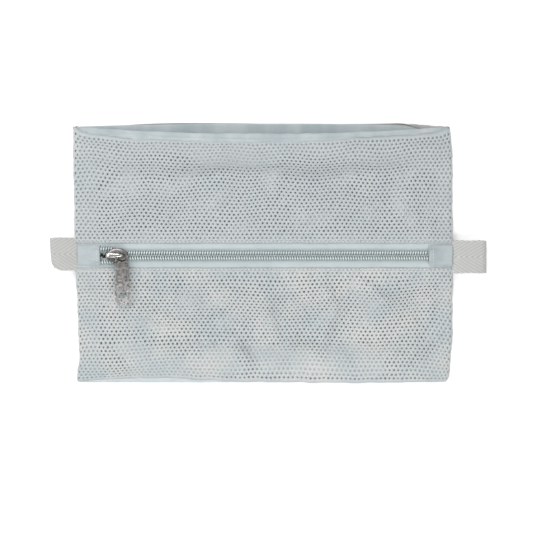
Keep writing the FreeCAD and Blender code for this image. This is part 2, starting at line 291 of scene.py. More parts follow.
def sums(tree, first, second, operation="ADD"):
    """The sum of two values, or another operation on them."""
    node = add(tree, "ShaderNodeMath", {0: first, 1: second}, operation=operation)
    return node.outputs[0]


def mapped(tree, value, low=0.0, high=1.0, start=0.0, end=1.0):
    """A number that goes from low to high as value goes from start to end."""
    limits = {"From Min": start, "From Max": end, "To Min": low, "To Max": high}
    return add(tree, "ShaderNodeMapRange", {"Value": value, **limits}).outputs["Result"]


def ramp_between(tree, value, low, high, start=0.0, end=1.0):
    """Colour from low to high as value goes from start to end."""
    share = mapped(tree, value, start=start, end=end)
    mix = add(tree, "ShaderNodeMix", {0: share}, data_type="RGBA")
    colour_a, colour_b, colour_out = 6, 7, 2        # the Mix node's colour sockets
    mix.inputs[colour_a].default_value = (*low, 1.0)
    mix.inputs[colour_b].default_value = (*high, 1.0)
    return mix.outputs[colour_out]


def tinted(tree, colour, value, low, high):
    """A colour multiplied by a grey that goes from low to high with value."""
    grey = mapped(tree, value, low, high)
    node = add(tree, "ShaderNodeVectorMath", {0: colour, "Scale": grey}, operation="SCALE")
    return node.outputs[0]


def link(tree, output, shader, name):
    """Feeds a shader's named input."""
    tree.links.new(output, shader.inputs[name])


def add_relief(tree, shader, height, distance_mm, strength):
    """Feeds a shader a surface normal that follows a height."""
    node = add(
        tree, "ShaderNodeBump",
        {"Height": height, "Distance": distance_mm * MM, "Strength": strength},
    )
    link(tree, node.outputs["Normal"], shader, "Normal")


def cloth_finish(shader, sheen=0.25, roughness=0.85):
    """Matt cloth with a little sheen."""
    shader.inputs["Roughness"].default_value = roughness
    shader.inputs["Sheen Weight"].default_value = sheen
    shader.inputs["Sheen Roughness"].default_value = 0.5
    shader.inputs["Specular IOR Level"].default_value = 0.25


def knitted_mesh_material(name, low, high):
    """Warp-knitted mesh: fine wales, soft mottling and fuzzy yarn. On the lower front panel the light
    warm patches of the mottling are painted highlights.
    """
    material, tree, shader = new_material(name)
    cloth = cloth_coordinates(tree)
    wales = bands_of(tree, cloth, 0.68, "X", 0.4)
    courses = bands_of(tree, cloth, 0.9, "Y", 0.6)
    knit = sums(tree, wales, courses, "MULTIPLY")
    patches = noise_of(tree, cloth, 0.035, 2.0)
    fuzz = noise_of(tree, cloth, 1.6, 3.0)
    colour = ramp_between(tree, patches, low, high, 0.35, 0.65)
    colour = tinted(tree, colour, fuzz, 0.82, 1.18)
    colour = tinted(tree, colour, knit, 0.88, 1.08)
    link(tree, colour, shader, "Base Color")
    height = sums(tree, knit, sums(tree, fuzz, 0.6, "MULTIPLY"))
    add_relief(tree, shader, height, 0.15, 0.7)
    cloth_finish(shader)
    return material


def plain_weave_material(name, low, high, pitch=0.42, patch=(0.06, 0.06), roughness=0.7):
    """Smooth plain weave: tiny crossed threads, faint creases and soft colour patches. Where patch
    stretches the patches into thin streaks, as on both gussets, they are painted highlights of silky
    ripples.
    """
    material, tree, shader = new_material(name)
    cloth = cloth_coordinates(tree)
    scale = 0.314 / pitch
    warp = bands_of(tree, cloth, scale, "X", 0.2)
    weft = bands_of(tree, cloth, scale, "Y", 0.2)
    weave = sums(tree, warp, weft)
    # Colour patches. Stretched thin, as on the gussets, they are painted highlights of light on silky
    # ripples.
    patches = noise_of(tree, stretched(tree, cloth, (*patch, 1.0)), 1.0, 3.0)
    slubs = noise_of(tree, stretched(tree, cloth, (0.12, 2.2, 1.0)), 1.0, 2.0)
    colour = ramp_between(tree, patches, low, high, 0.35, 0.65)
    colour = tinted(tree, colour, slubs, 0.94, 1.06)
    colour = tinted(tree, colour, weave, 0.93, 1.03)
    link(tree, colour, shader, "Base Color")
    height = sums(tree, weave, slubs)
    add_relief(tree, shader, height, 0.05, 0.5)
    cloth_finish(shader, 0.3, roughness)
    return material


def herringbone_material(name, low, high, half_width, rib=0.92, slant=0.26):
    """Twill webbing whose long low ribs meet in a point on its middle line."""
    material, tree, shader = new_material(name)
    cloth = cloth_coordinates(tree)
    split = add(tree, "ShaderNodeSeparateXYZ", {"Vector": cloth})
    along, across = split.outputs["X"], split.outputs["Y"]
    fold = add(tree, "ShaderNodeMath", {0: across, 1: half_width}, operation="PINGPONG")
    climb = sums(tree, fold.outputs[0], sums(tree, along, slant, "MULTIPLY"))
    phase = sums(tree, climb, 2 * pi / rib, "MULTIPLY")
    ribs = add(tree, "ShaderNodeMath", {0: phase}, operation="SINE").outputs[0]
    ribs = mapped(tree, ribs, start=-1.0)
    fuzz = noise_of(tree, cloth, 2.2, 3.0)
    patches = noise_of(tree, cloth, 0.12, 2.0)
    colour = ramp_between(tree, ribs, low, high, 0.1, 0.7)
    colour = tinted(tree, colour, fuzz, 0.9, 1.1)
    colour = tinted(tree, colour, patches, 0.94, 1.05)
    link(tree, colour, shader, "Base Color")
    height = sums(tree, ribs, sums(tree, fuzz, 0.4, "MULTIPLY"))
    add_relief(tree, shader, height, 0.22, 0.8)
    cloth_finish(shader, 0.2, 0.9)
    return material


def thread_material(name, low, high):
    """Twisted polyester thread."""
    material, tree, shader = new_material(name)
    place = object_coordinates(tree)
    strands = noise_of(tree, place, 3.0, 2.0)
    colour = ramp_between(tree, strands, low, high, 0.3, 0.7)
    link(tree, colour, shader, "Base Color")
    add_relief(tree, shader, strands, 0.08, 0.6)
    cloth_finish(shader, 0.2, 0.6)
    return material


def nylon_material(name, low, high):
    """Dyed nylon monofilament with a soft gloss."""
    material, tree, shader = new_material(name)
    place = object_coordinates(tree)
    mottle = noise_of(tree, place, 0.9, 2.0)
    colour = ramp_between(tree, mottle, low, high, 0.3, 0.7)
    link(tree, colour, shader, "Base Color")
    link(tree, mapped(tree, mottle, 0.3, 0.45), shader, "Roughness")
    add_relief(tree, shader, mottle, 0.02, 0.4)
    return material


def nickel_material(name, low, high, rough_low, rough_high, pits=0.3, painted_light_span=None):
    """Nickel plating: tumbled mottling, hairline scratches and shallow pits.

    The last argument, if given, holds two distances along Y between which the colour is painted
    lighter: painted light falling along the part.
    """
    material, tree, shader = new_material(name)
    place = object_coordinates(tree)
    mottle = noise_of(tree, place, 0.55, 5.0, 0.65)
    grain = noise_of(tree, place, 3.2, 3.0, 0.6)
    scratches = noise_of(tree, stretched(tree, place, (0.4, 5.0, 1.0)), 1.0, 2.0)
    blend = sums(tree, sums(tree, mottle, 0.65, "MULTIPLY"), sums(tree, grain, 0.35, "MULTIPLY"))
    colour = ramp_between(tree, blend, low, high, 0.38, 0.62)
    if painted_light_span:
        # Painted light: the colour grows lighter along Y between the two distances.
        split = add(tree, "ShaderNodeSeparateXYZ", {"Vector": place})
        painted_light = mapped(tree, split.outputs["Y"], start=painted_light_span[0], end=painted_light_span[1])
        colour = tinted(tree, colour, painted_light, 0.75, 1.5)
    link(tree, colour, shader, "Base Color")
    link(tree, mapped(tree, blend, rough_low, rough_high, 0.35, 0.65), shader, "Roughness")
    height = sums(tree, sums(tree, grain, pits, "MULTIPLY"), sums(tree, scratches, 0.15, "MULTIPLY"))
    add_relief(tree, shader, height, 0.1, 0.5)
    shader.inputs["Metallic"].default_value = 1.0
    return material


# Two copies of one knit for the two front panels. The lower copy is lighter, with light warm patches
# that are painted highlights and a painted brightening of the lower half. The upper copy's patches are
# fainter.
MESH_UPPER = knitted_mesh_material("knitted_mesh_upper", (0.60, 0.648, 0.664), (0.64, 0.676, 0.684))
MESH_LOWER_PAINTED_HIGHLIGHTS = knitted_mesh_material("knitted_mesh_lower_painted_highlights", (0.585, 0.64, 0.66), (0.70, 0.712, 0.70))
# Painted shade: the back panel is the same knit as the front, painted darker for the shade inside the
# bag seen through the front's holes.
BACK_CLOTH_PAINTED_SHADE = knitted_mesh_material("knitted_mesh_back_painted_shade", (0.50, 0.54, 0.55), (0.56, 0.60, 0.61))
# Painted shade: the top gusset's cloth is painted darker than the bottom gusset's, for the shade down
# in its fold. Its thin streaks are painted highlights.
GUSSET_CLOTH_PAINTED_SHADE = plain_weave_material(
    "gusset_weave_painted_shade", (0.42, 0.485, 0.51), (0.55, 0.60, 0.61), patch=(0.055, 0.012)
)
# The bottom gusset is the same cloth as the top gusset, painted lighter as its lit copy, with the same
# painted highlight streaks.
BOTTOM_CLOTH_PAINTED_LIGHT = plain_weave_material(
    "bottom_weave_painted_light", (0.52, 0.585, 0.605), (0.64, 0.69, 0.695), patch=(0.055, 0.012)
)
# Painted shade: the turned-in side strips are painted darker than the front mesh, for the shade under
# the front panel seen through its holes.
STRIP_CLOTH_PAINTED_SHADE = plain_weave_material("strip_weave_painted_shade", (0.46, 0.51, 0.52), (0.56, 0.60, 0.61), 0.6)
PATCH_CLOTH = plain_weave_material("patch_weave", (0.44, 0.495, 0.515), (0.51, 0.56, 0.575))
TAPE_CLOTH = plain_weave_material("tape_weave", (0.50, 0.565, 0.58), (0.55, 0.61, 0.625), 0.9)
WEBBING = herringbone_material(
    "webbing_twill", (0.36, 0.36, 0.345), (0.71, 0.71, 0.69), loop_high[1]
)
REVERSE_CLOTH = plain_weave_material("mesh_reverse", (0.36, 0.355, 0.33), (0.50, 0.495, 0.47), 1.3)
THREAD = thread_material("sewing_thread", (0.66, 0.71, 0.72), (0.86, 0.89, 0.89))
COIL_THREAD = thread_material("coil_thread", (0.78, 0.84, 0.84), (0.93, 0.96, 0.96))
CORD = thread_material("filler_cord", (0.34, 0.41, 0.41), (0.44, 0.51, 0.51))
NYLON = nylon_material("coil_nylon", (0.43, 0.51, 0.51), (0.56, 0.64, 0.64))
# Two copies of the slider's plating. The body's dark colour is partly its dark gunmetal plating and
# partly painted shade that dims the dome's reflections. The crown's light colour is a painted
# highlight.
SLIDER_GUNMETAL_AND_PAINTED_SHADE = nickel_material("slider_nickel", (0.16, 0.152, 0.145), (0.30, 0.285, 0.27), 0.24, 0.38)
CROWN_METAL_PAINTED_HIGHLIGHT = nickel_material("crown_nickel_painted_highlight", (0.62, 0.60, 0.575), (0.80, 0.78, 0.75), 0.18, 0.30, 0.2)
PULL_METAL = nickel_material(
    "pull_nickel", (0.17, 0.163, 0.16), (0.63, 0.61, 0.595), 0.28, 0.5, 0.8, PULL_PAINTED_LIGHT_SPAN
)


# ============================================================ cloth surfaces
def cubic_weights(knots, places):
    """Weights of control values for a smooth run through them, one row per place."""
    knots = np.asarray(knots, float)
    count = len(knots)
    values = np.eye(count)
    slopes = np.zeros((count, count))
    for i in range(count):
        before, after = max(i - 1, 0), min(i + 1, count - 1)
        slopes[i] = (values[after] - values[before]) / (knots[after] - knots[before])
    span = np.clip(np.searchsorted(knots, places, side="right") - 1, 0, count - 2)
    width = knots[span + 1] - knots[span]
    t = ((places - knots[span]) / width)[:, None]
    width = width[:, None]
    h00 = 2 * t ** 3 - 3 * t ** 2 + 1
    h10 = t ** 3 - 2 * t ** 2 + t
    h01 = -2 * t ** 3 + 3 * t ** 2
    h11 = t ** 3 - t ** 2
    return (
        h00 * values[span] + h10 * width * slopes[span]
        + h01 * values[span + 1] + h11 * width * slopes[span + 1]
    )


def run_lengths(profile):
    """Distance along a profile to each of its points."""
    steps = np.linalg.norm(np.diff(np.asarray(profile, float), axis=0), axis=1)
    return np.concatenate([[0.0], np.cumsum(steps)])


def even_run(points, count):
    """Evenly spaced places on a smooth run through some points, and the run's length."""
    knots = run_lengths(points)
    places = np.linspace(0.0, knots[-1], count)
    return cubic_weights(knots, places) @ np.asarray(points, float), knots[-1]


def lofted(flat, full, across, along, side):
    """A grid of cloth whose section goes from flat, in the seams, to full, in the middle.

    across holds distances along the zip and along holds shares of the section's run.
    """
    knots = run_lengths(full)
    weights = cubic_weights(knots, along * knots[-1])
    thin, thick = weights @ np.asarray(flat, float), weights @ np.asarray(full, float)
    share = puff(across)[:, None]
    distance, height = (thin[:, k] * (1 - share) + thick[:, k] * share for k in (0, 1))
    return point_grid(across[:, None], side * distance, height)


def smooth_noise(grid, size, seed):
    """Soft random heights over a grid of points, about -1 to 1."""
    columns, rows = grid.shape[:2]
    height = np.empty((columns, rows))
    for i in range(columns):
        for j in range(rows):
            x, y = grid[i, j, 0] / size, grid[i, j, 1] / size
            height[i, j] = noise.fractal(Vector((x, y, seed)), 1.0, 2.0, 2)
    return height


def fold_ridge(grid, start, end, width, height):
    """Height of a soft fold along the line from start to end."""
    start, end = np.array(start, float), np.array(end, float)
    way = end - start
    place = grid[:, :, :2] - start
    share = np.clip((place @ way) / (way @ way), 0.0, 1.0)
    gap = np.linalg.norm(place - share[:, :, None] * way, axis=2)
    fade = np.sin(pi * np.clip(share, 0.02, 0.98)) ** 0.5
    return height * fade * np.exp(-((gap / width) ** 2))


class Cloth:
    """A grid of points over a flat cloth, read anywhere between its points."""

    def __init__(self, us, vs, grid):
        self.us, self.vs, self.grid = np.asarray(us), np.asarray(vs), grid
        self.normals = grid_normals(grid)

    def read(self, table, u, v):
        """What a table with a row for each grid point says at flat places."""
        i = np.clip(np.searchsorted(self.us, u, side="right") - 1, 0, len(self.us) - 2)
        j = np.clip(np.searchsorted(self.vs, v, side="right") - 1, 0, len(self.vs) - 2)
        a = np.clip((u - self.us[i]) / (self.us[i + 1] - self.us[i]), 0, 1)[..., None]
        b = np.clip((v - self.vs[j]) / (self.vs[j + 1] - self.vs[j]), 0, 1)[..., None]
        low = table[i, j] * (1 - a) + table[i + 1, j] * a
        high = table[i, j + 1] * (1 - a) + table[i + 1, j + 1] * a
        return low * (1 - b) + high * b

    def at(self, u, v, lift):
        """Points over flat places, lifted off the cloth along its normal."""
        u, v = np.broadcast_arrays(np.asarray(u, float), np.asarray(v, float))
        normal = self.read(self.normals, u, v)
        return self.read(self.grid, u, v) + normal * np.asarray(lift)[..., None]


# ============================================================ front panels
LEVEL_TO = 106.0            # the zip is level this far from the middle
END_DROP = 2.55             # and falls this much on its way into a side seam
MESH_THICK = 0.32
TURN_FROM = 118.9           # the front cloth turns down into the side seam from here
TURN_RADIUS = 2.2
FLAT_HALF = TURN_FROM + 0.5 * pi * TURN_RADIUS
HOLE_PITCH = 2.8
ROW_PITCH = 2.2
HOLE_RADIUS = 0.55
PLAIN_EDGE = 2.3            # no holes this near the front's outer edges
PLAIN_SIDE = 1.8            # nor this near its side edges
RIM_DIP = 0.10              # both faces of the cloth sink this much round a hole
HOLE_CORNERS = 12
FOLD_DEPTH = 1.5            # the soft folds' heights are multiplied by this
HEM_DEPTH = 8.3             # no holes nearer to the zip than this
HEM_ROWS = 20               # rows of a front cloth's points that are part of its hem
FRONT_GRID = (201, 75)      # points of a front cloth, along the zip and away from it

# Sections as (distance from the zip, height): first the hem folded under, then the
# panel up to its seam with a gusset.
HEM = ((10.6, 7.54), (8.2, 7.53), (7.1, 7.84), (8.0, 8.15))
UPPER_FULL = HEM + (
    (11.5, 8.3), (17.0, 8.9),
    (26.0, 9.9), (38.0, 9.5), (46.0, 8.3), (51.0, 7.8), (54.5, 10.4), (58.0, 13.6),
    (61.5, 15.2), (66.0, 15.8), (71.2, 15.6), (72.8, 15.0), (73.2, 14.0),
)
UPPER_FLAT = HEM + (
    (11.5, 7.9), (17.0, 5.6),
    (26.0, 3.9), (38.0, 3.3), (47.0, 3.2), (53.0, 3.2), (58.0, 3.2), (63.0, 3.2),
    (67.0, 3.1), (73.0, 3.1), (79.0, 3.0), (82.0, 2.9), (83.2, 2.2),
)
LOWER_FULL = HEM + (
    (11.5, 8.3), (17.0, 8.9),
    (26.0, 9.9), (38.0, 9.3), (47.0, 8.0), (53.0, 7.4), (57.0, 9.6), (61.0, 12.0),
    (66.0, 12.9), (72.0, 12.5), (76.3, 11.2), (78.3, 9.7),
)
LOWER_FLAT = HEM + (
    (11.5, 7.9), (17.0, 5.6),
    (26.0, 3.9), (38.0, 3.3), (48.0, 3.2), (54.5, 3.2), (60.0, 3.2), (65.0, 3.2),
    (70.0, 3.1), (75.5, 3.1), (79.6, 3.0), (81.2, 2.2),
)

# How far the step beside the gusset's fold wanders: (place along the zip, shift).
UPPER_STEP = ((-121, -9), (-90, -2), (-60, -5), (-33, 2), (0, 2), (26, -4), (53, -2),
              (80, 5), (108, 9), (121, 9))
LOWER_STEP = ((-121, -3), (-95, 4), (-60, -2), (-28, 0), (-8, 5), (20, -2), (45, 2),
              (75, -2), (100, 4), (121, 0))

# How far the edge sewn to a gusset stands out: (place along the zip, shift).
UPPER_EDGE = ((-121, 0), (-116, -1.8), (-106, -2.2), (-95, -2.3), (-80, -2.1), (-60, -1.0),
              (-20, -0.6), (30, -0.2), (70, 0.2), (106, -1.5), (114, -1.2), (121, 0))
LOWER_EDGE = ((-121, 0), (-85, -0.7), (-55, 0.0), (-30, 1.6), (0, 2.4), (60, 2.6), (121, 0))

# Soft folds: (start, end, width, height).
UPPER_FOLDS = (
    ((-35, 28), (-22, 46), 5.0, 1.4),
    ((-96, 20), (-84, 36), 5.0, 1.1),
    ((18, 20), (58, 45), 5.5, 1.3),
    ((48, 27), (70, 38), 4.0, 0.9),
    ((-62, 16), (-52, 30), 4.0, -1.0),
    ((84, 18), (96, 44), 6.0, 1.0),
    ((-112, 44), (-92, 56), 4.5, 1.1),
)
LOWER_FOLDS = (
    ((-104, -31), (-60, -42), 4.0, 1.5),
    ((-66, -41), (-20, -50), 4.0, 1.6),
    ((-26, -47), (-4, -76), 4.5, 2.0),
    ((-113, -54), (-94, -66), 3.5, 1.4),
    ((-110, -66), (-84, -76), 3.5, 1.0),
    ((-2, -25), (9, -56), 4.5, 1.8),
    ((36, -17), (46, -36), 4.0, 1.5),
    ((46, -32), (32, -64), 4.5, 1.8),
    ((60, -14), (82, -34), 4.5, 1.7),
    ((78, -72), (116, -52), 4.5, 1.7),
    ((-48, -18), (-36, -34), 4.5, -1.2),
    ((96, -24), (102, -44), 6.0, -1.0),
)

# The side seams' wander: (distance along Y, inward shift), left and right.
LEFT_WANDER = ((-82, 0.5), (-73, 0.7), (-66, 2.0), (-58, 1.4), (-40, 0.9), (-15, 0.0),
               (0, -0.6), (20, -1.1), (60, -2.1), (82, -2.1))
RIGHT_WANDER = ((-82, 4.6), (-79.5, 3.0), (-76, 1.9), (-70, 1.3), (-63, 1.1), (-57, 0.1),
                (-40, 0.0), (20, 0.1), (60, 0.0), (72, 0.5), (79, 1.3), (84, 2.2))


def smoothstep(low, high, value):
    """A soft step from 0 at low to 1 at high."""
    share = np.clip((np.asarray(value, float) - low) / (high - low), 0.0, 1.0)
    return share * share * (3 - 2 * share)


def soft_curve(points, places):
    """A smooth run through (place, value) points."""
    places = np.asarray(places, float)
    points = np.asarray(points, float)
    inside = np.clip(places, points[0, 0], points[-1, 0])
    return (cubic_weights(points[:, 0], inside.ravel()) @ points[:, 1]).reshape(places.shape)


def end_drop(x):
    """How far the zip and what is sewn to it lie below their level at x."""
    return END_DROP * np.clip((np.abs(x) - LEVEL_TO) / (HALF_WIDTH - LEVEL_TO), 0, 1)


def wander_sides(grid):
    """Moves the cloth near the side seams in or out, as the seams wander."""
    x, y = grid[:, :, 0], grid[:, :, 1]
    left, right = soft_curve(LEFT_WANDER, y), soft_curve(RIGHT_WANDER, y)
    near = np.clip(np.abs(x) / HALF_WIDTH, 0.0, 1.05) ** 7
    pucker = 0.17 * np.sin(y / 0.95) + 0.14 * np.sin(y / 2.3 + 1.0)
    grid[:, :, 0] = x + near * np.where(x < 0, left + pucker, -right - pucker)


def front_cloth(full, flat, step, edge, folds, side, seed):
    """The front panel on one side of the zip, as a Cloth in millimetres."""
    across = np.linspace(-FLAT_HALF, FLAT_HALF, FRONT_GRID[0])
    knots = run_lengths(full)
    run = np.linspace(0.0, knots[-1], FRONT_GRID[1])
    turned = np.clip(np.abs(across) - TURN_FROM, 0.0, None) / TURN_RADIUS
    x = np.sign(across) * (np.minimum(np.abs(across), TURN_FROM) + TURN_RADIUS * np.sin(turned))
    turn_down = TURN_RADIUS * (1.0 - np.cos(turned))

    full, flat = np.array(full), np.array(flat)
    share = puff(x)
    shift = soft_curve(step, x) * share
    window = smoothstep(0.35, 0.6, run / knots[-1]) * smoothstep(1.0, 0.86, run / knots[-1])
    plain = cubic_weights(knots, run)
    grid = np.empty((len(across), len(run), 3))
    for i, amount in enumerate(share):
        moved = cubic_weights(knots, np.clip(run - shift[i] * window, 0.0, knots[-1]))
        distance = plain @ (flat[:, 0] * (1 - amount) + full[:, 0] * amount)
        soft = moved @ (flat[:, 1] * (1 - amount) + full[:, 1] * amount)
        firm = plain @ full[:, 1] - end_drop(x[i])
        near_zip = smoothstep(25.0, 12.5, distance)
        grid[i, :, 0] = x[i]
        grid[i, :, 1] = side * distance
        grid[i, :, 2] = soft * (1 - near_zip) + firm * near_zip - turn_down[i]

    from_zip = np.abs(grid[:, :, 1])
    loose = smoothstep(9.5, 22.0, from_zip) * smoothstep(120.0, 108.0, np.abs(x))[:, None]
    seam = smoothstep(0.82, 1.0, run / knots[-1])[None, :]
    lift = 0.75 * smooth_noise(grid, 34.0, seed)
    lift += 0.30 * smooth_noise(grid, 11.0, seed + 7.0)
    for start, end, width, height in folds:
        lift += fold_ridge(grid, start, end, width, FOLD_DEPTH * height)
    grid[:, :, 2] += lift * loose * (1.0 - 0.7 * seam)
    pucker = 0.16 * np.sin(x / 1.35 + 2.0 * np.sin(x / 9.0))
    hem = smoothstep(6.5, 9.5, from_zip) * smoothstep(24.0, 10.0, from_zip)
    grid[:, :, 2] += pucker[:, None] * hem * (np.abs(x) < LEVEL_TO)[:, None]
    wave = 0.2 * np.sin(x / 4.1) + 0.15 * np.sin(x / 2.3 + 1.0)
    edge_shift = soft_curve(edge, x) * smoothstep(0.0, 0.12, share) + wave * share
    grid[:, :, 1] += side * edge_shift[:, None] * seam
    wander_sides(grid)
    if side < 0:
        grid = grid[::-1]
        across = -across[::-1]
    return Cloth(across, run, grid)


def slack(u, v, seed):
    """How far the knit has slid along the cloth at each place, as two distances."""
    rng = np.random.default_rng(seed)
    shift = np.zeros((2,) + np.shape(u))
    for _ in range(8):
        heading, length = rng.uniform(0.0, 2 * pi), rng.uniform(32.0, 85.0)
        start, size = rng.uniform(0.0, 2 * pi), rng.normal(0.0, 0.005 * length, 2)
        wave = 2 * pi * (u * cos(heading) + v * sin(heading)) / length + start
        shift += size[:, None] * np.sin(wave)
    return shift


def staggered_cells(columns, rows):
    """(row, first half-column) of each whole cell, in rows set off by half a cell."""
    cells = []
    for j in range(rows):
        offset = j % 2
        cells += [(j, 2 * i + offset) for i in range(columns - offset)]
    return np.array(cells)


def perforated_sheet(cloth, has_hole, firm_to, seed, thickness=None):
    """Points, faces and UVs of knitted mesh: staggered cells, most with a round hole.

    The knit's rows wander, but not before firm_to. With a thickness the sheet is closed;
    without, it is one layer of faces.
    """
    rng = np.random.default_rng(seed)
    u0, u1, v0, v1 = cloth.us[0], cloth.us[-1], cloth.vs[0], cloth.vs[-1]
    columns, rows = round((u1 - u0) / HOLE_PITCH), round((v1 - v0) / ROW_PITCH)
    half, step = (u1 - u0) / (2 * columns), (v1 - v0) / rows
    wide = 2 * columns + 1
    k, j = np.meshgrid(np.arange(wide), np.arange(rows + 1))
    lattice = np.stack([u0 + k.ravel() * half, v0 + j.ravel() * step], axis=1)

    cells = staggered_cells(columns, rows)
    centre = np.stack([u0 + (cells[:, 1] + 1) * half, v0 + (cells[:, 0] + 0.5) * step], 1)
    corner = cells[:, 0] * wide + cells[:, 1]
    border = np.stack(
        [corner, corner + 1, corner + 2, corner + wide + 2, corner + wide + 1, corner + wide],
        axis=1,
    )
    open_cell = has_hole(centre[:, 0], centre[:, 1])
    border_open, border_shut = border[open_cell], border[~open_cell]
    middle = centre[open_cell]
    angle = radians(210.0) + np.arange(HOLE_CORNERS) * radians(360.0 / HOLE_CORNERS)
    size = HOLE_RADIUS * rng.normal(1.0, 0.09, len(middle))[:, None]
    drift = rng.normal(0.0, 0.05, (len(middle), 2))
    hole = np.stack([
        middle[:, :1] + drift[:, :1] + size * np.cos(angle),
        middle[:, 1:] + drift[:, 1:] + size * np.sin(angle),
    ], axis=2)
    first_hole = len(lattice)
    rims = first_hole + np.arange(len(middle) * HOLE_CORNERS).reshape(-1, HOLE_CORNERS)
    flat = np.vstack([lattice, hole.reshape(-1, 2)])

    sectors = np.arange(6)
    after = (sectors + 1) % 6
    quads = np.stack([
        border_open[:, sectors], border_open[:, after],
        rims[:, (2 * sectors + 2) % HOLE_CORNERS], rims[:, 2 * sectors + 1],
    ], axis=2).reshape(-1, 4)
    wedges = np.stack([
        border_open[:, sectors], rims[:, 2 * sectors + 1], rims[:, 2 * sectors],
    ], axis=2).reshape(-1, 3)
    faces = quads.tolist() + wedges.tolist() + border_shut.tolist()
    for row in range(1, rows, 2):
        for first in (row * wide, row * wide + wide - 2):
            faces.append([first, first + 1, first + wide + 1, first + wide])

    lift = np.zeros(len(flat))
    lift[first_hole:] = -RIM_DIP
    u, v = flat[:, 0], flat[:, 1]
    side_gap = np.minimum(abs(u0), abs(u1)) - np.abs(u)
    loose = smoothstep(0.0, 14.0, side_gap) * smoothstep(firm_to, firm_to + 14.0, v)
    shift = slack(u, v, seed) * loose * smoothstep(v1, v1 - 10.0, v)
    u, v = u + shift[0], v + shift[1]
    if thickness is None:
        return cloth.at(u, v, lift), faces, flat
    count = len(flat)
    upper = cloth.at(u, v, lift)
    under = cloth.at(u, v, -thickness - lift)
    below = [[count + k for k in face[::-1]] for face in faces]
    turn = np.roll(rims, -1, axis=1)
    walls = np.stack([rims, turn, turn + count, rims + count], axis=2).reshape(-1, 4)
    edge = list(range(wide))
    edge += [(r + 1) * wide - 1 for r in range(1, rows + 1)]
    edge += list(range(rows * wide + wide - 2, rows * wide - 1, -1))
    edge += [r * wide for r in range(rows - 1, 0, -1)]
    outside = [[b, a, a + count, b + count] for a, b in zip(edge, edge[1:] + edge[:1])]
    faces = faces + below + walls.tolist() + outside
    return np.vstack([upper, under]), faces, np.vstack([flat, flat])


def add_front(name, cloth, full, material, seed):
    """A perforated front panel; its hem and its edges in the seams have no holes."""
    knots = run_lengths(full)
    hem_end = knots[len(HEM)] - (full[len(HEM)][0] - HEM_DEPTH)

    def has_hole(u, v):
        within = (v > hem_end) & (v < knots[-1] - PLAIN_EDGE)
        return within & (np.abs(u) < FLAT_HALF - PLAIN_SIDE)

    points, faces, uv = perforated_sheet(cloth, has_hole, hem_end, seed, MESH_THICK)
    piece = mesh_piece(name, points, faces, material, "mesh_polyester", uv)
    return piece


upper_cloth = front_cloth(UPPER_FULL, UPPER_FLAT, UPPER_STEP, UPPER_EDGE, UPPER_FOLDS, 1, 3.0)
lower_cloth = front_cloth(LOWER_FULL, LOWER_FLAT, LOWER_STEP, LOWER_EDGE, LOWER_FOLDS, -1, 41.0)
front_upper = add_front("front_panel_upper", upper_cloth, UPPER_FULL, MESH_UPPER, 11)
front_lower = add_front("front_panel_lower", lower_cloth, LOWER_FULL, MESH_LOWER_PAINTED_HIGHLIGHTS, 12)
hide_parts("front_mesh_upper")
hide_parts("front_mesh_lower")


# ============================================================ back panel
BACK_Z = 0.45
CURL_RADIUS = 1.0
CURL_CENTRE = 106.0         # the back's edge curls over the gusset round here
CURL_SPREAD = 14.0
BACK_PLAIN = 5.5            # no holes this near the back's open edge
BACK_PLAIN_SIDE = 1.5       # nor this near its sides
BACK_EDGE = ((-121, -0.8), (-110, -0.4), (-98, 0.0), (-82, 0.3), (-45, 0.4), (-20, 0.4), (-5, 0.0),
             (5, -0.5), (20, -0.8), (35, -0.6), (52, 0.1), (70, 0.6), (85, 0.9), (100, 0.8), (121, 0.0))
TOP_ARC = 2.3               # how far the open edge falls back towards the side seams
BACK_GRID = (161, 121)


def back_cloth():
    """The back panel: flat, with a top edge that is an arc and curls forward."""
    across = np.linspace(-HALF_WIDTH, HALF_WIDTH, BACK_GRID[0])
    share = np.linspace(0.0, 1.0, BACK_GRID[1])
    top = BACK_TOP - TOP_ARC * (1.0 - puff(across)) + 0.25 * np.sin(across / 13.0)
    top = top + soft_curve(BACK_EDGE, across)
    bottom = BACK_BOTTOM + 0.3 * np.sin(across / 17.0 + 1.0)
    curl = 1.1 + 4.6 * np.exp(-((across - CURL_CENTRE) / CURL_SPREAD) ** 2)
    run = share * (top - bottom + curl - CURL_RADIUS)[:, None]
    straight = (top - CURL_RADIUS - bottom)[:, None]
    bend = np.clip((run - straight) / CURL_RADIUS, 0.0, pi)
    past = np.clip(run - straight - pi * CURL_RADIUS, 0.0, None)
    y = bottom[:, None] + np.minimum(run, straight) + CURL_RADIUS * np.sin(bend) - past
    grid = point_grid(across[:, None], y, BACK_Z + CURL_RADIUS * (1 - np.cos(bend)))
    ripple = np.abs(smooth_noise(grid, 30.0, 90.0))
    away_from_seams = smoothstep(118.0, 100.0, np.abs(across))[:, None]
    grid[:, :, 2] += 0.5 * ripple * away_from_seams * (share < 0.9)[None, :]
    wander_sides(grid)
    length = float(np.mean(top - bottom))
    return Cloth(across, share * length, grid), length


def add_back(cloth, length):
    """The back panel's mesh; its curled edge is plain and shows the cloth's reverse."""
    plain_from = cloth.vs[-1] - BACK_PLAIN

    def has_hole(u, v):
        return (np.abs(u) < HALF_WIDTH - BACK_PLAIN_SIDE) & (v < plain_from)

    points, faces, uv = perforated_sheet(cloth, has_hole, 0.0, 2)
    piece = mesh_piece("back_panel", points, faces, BACK_CLOTH_PAINTED_SHADE, "mesh_polyester", uv)
    piece.data.materials.append(REVERSE_CLOTH)
    for face in piece.data.polygons:
        face.material_index = int(uv[face.vertices[0], 1] > plain_from + ROW_PITCH)
    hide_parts("back_mesh")


back, back_length = back_cloth()
add_back(back, back_length)


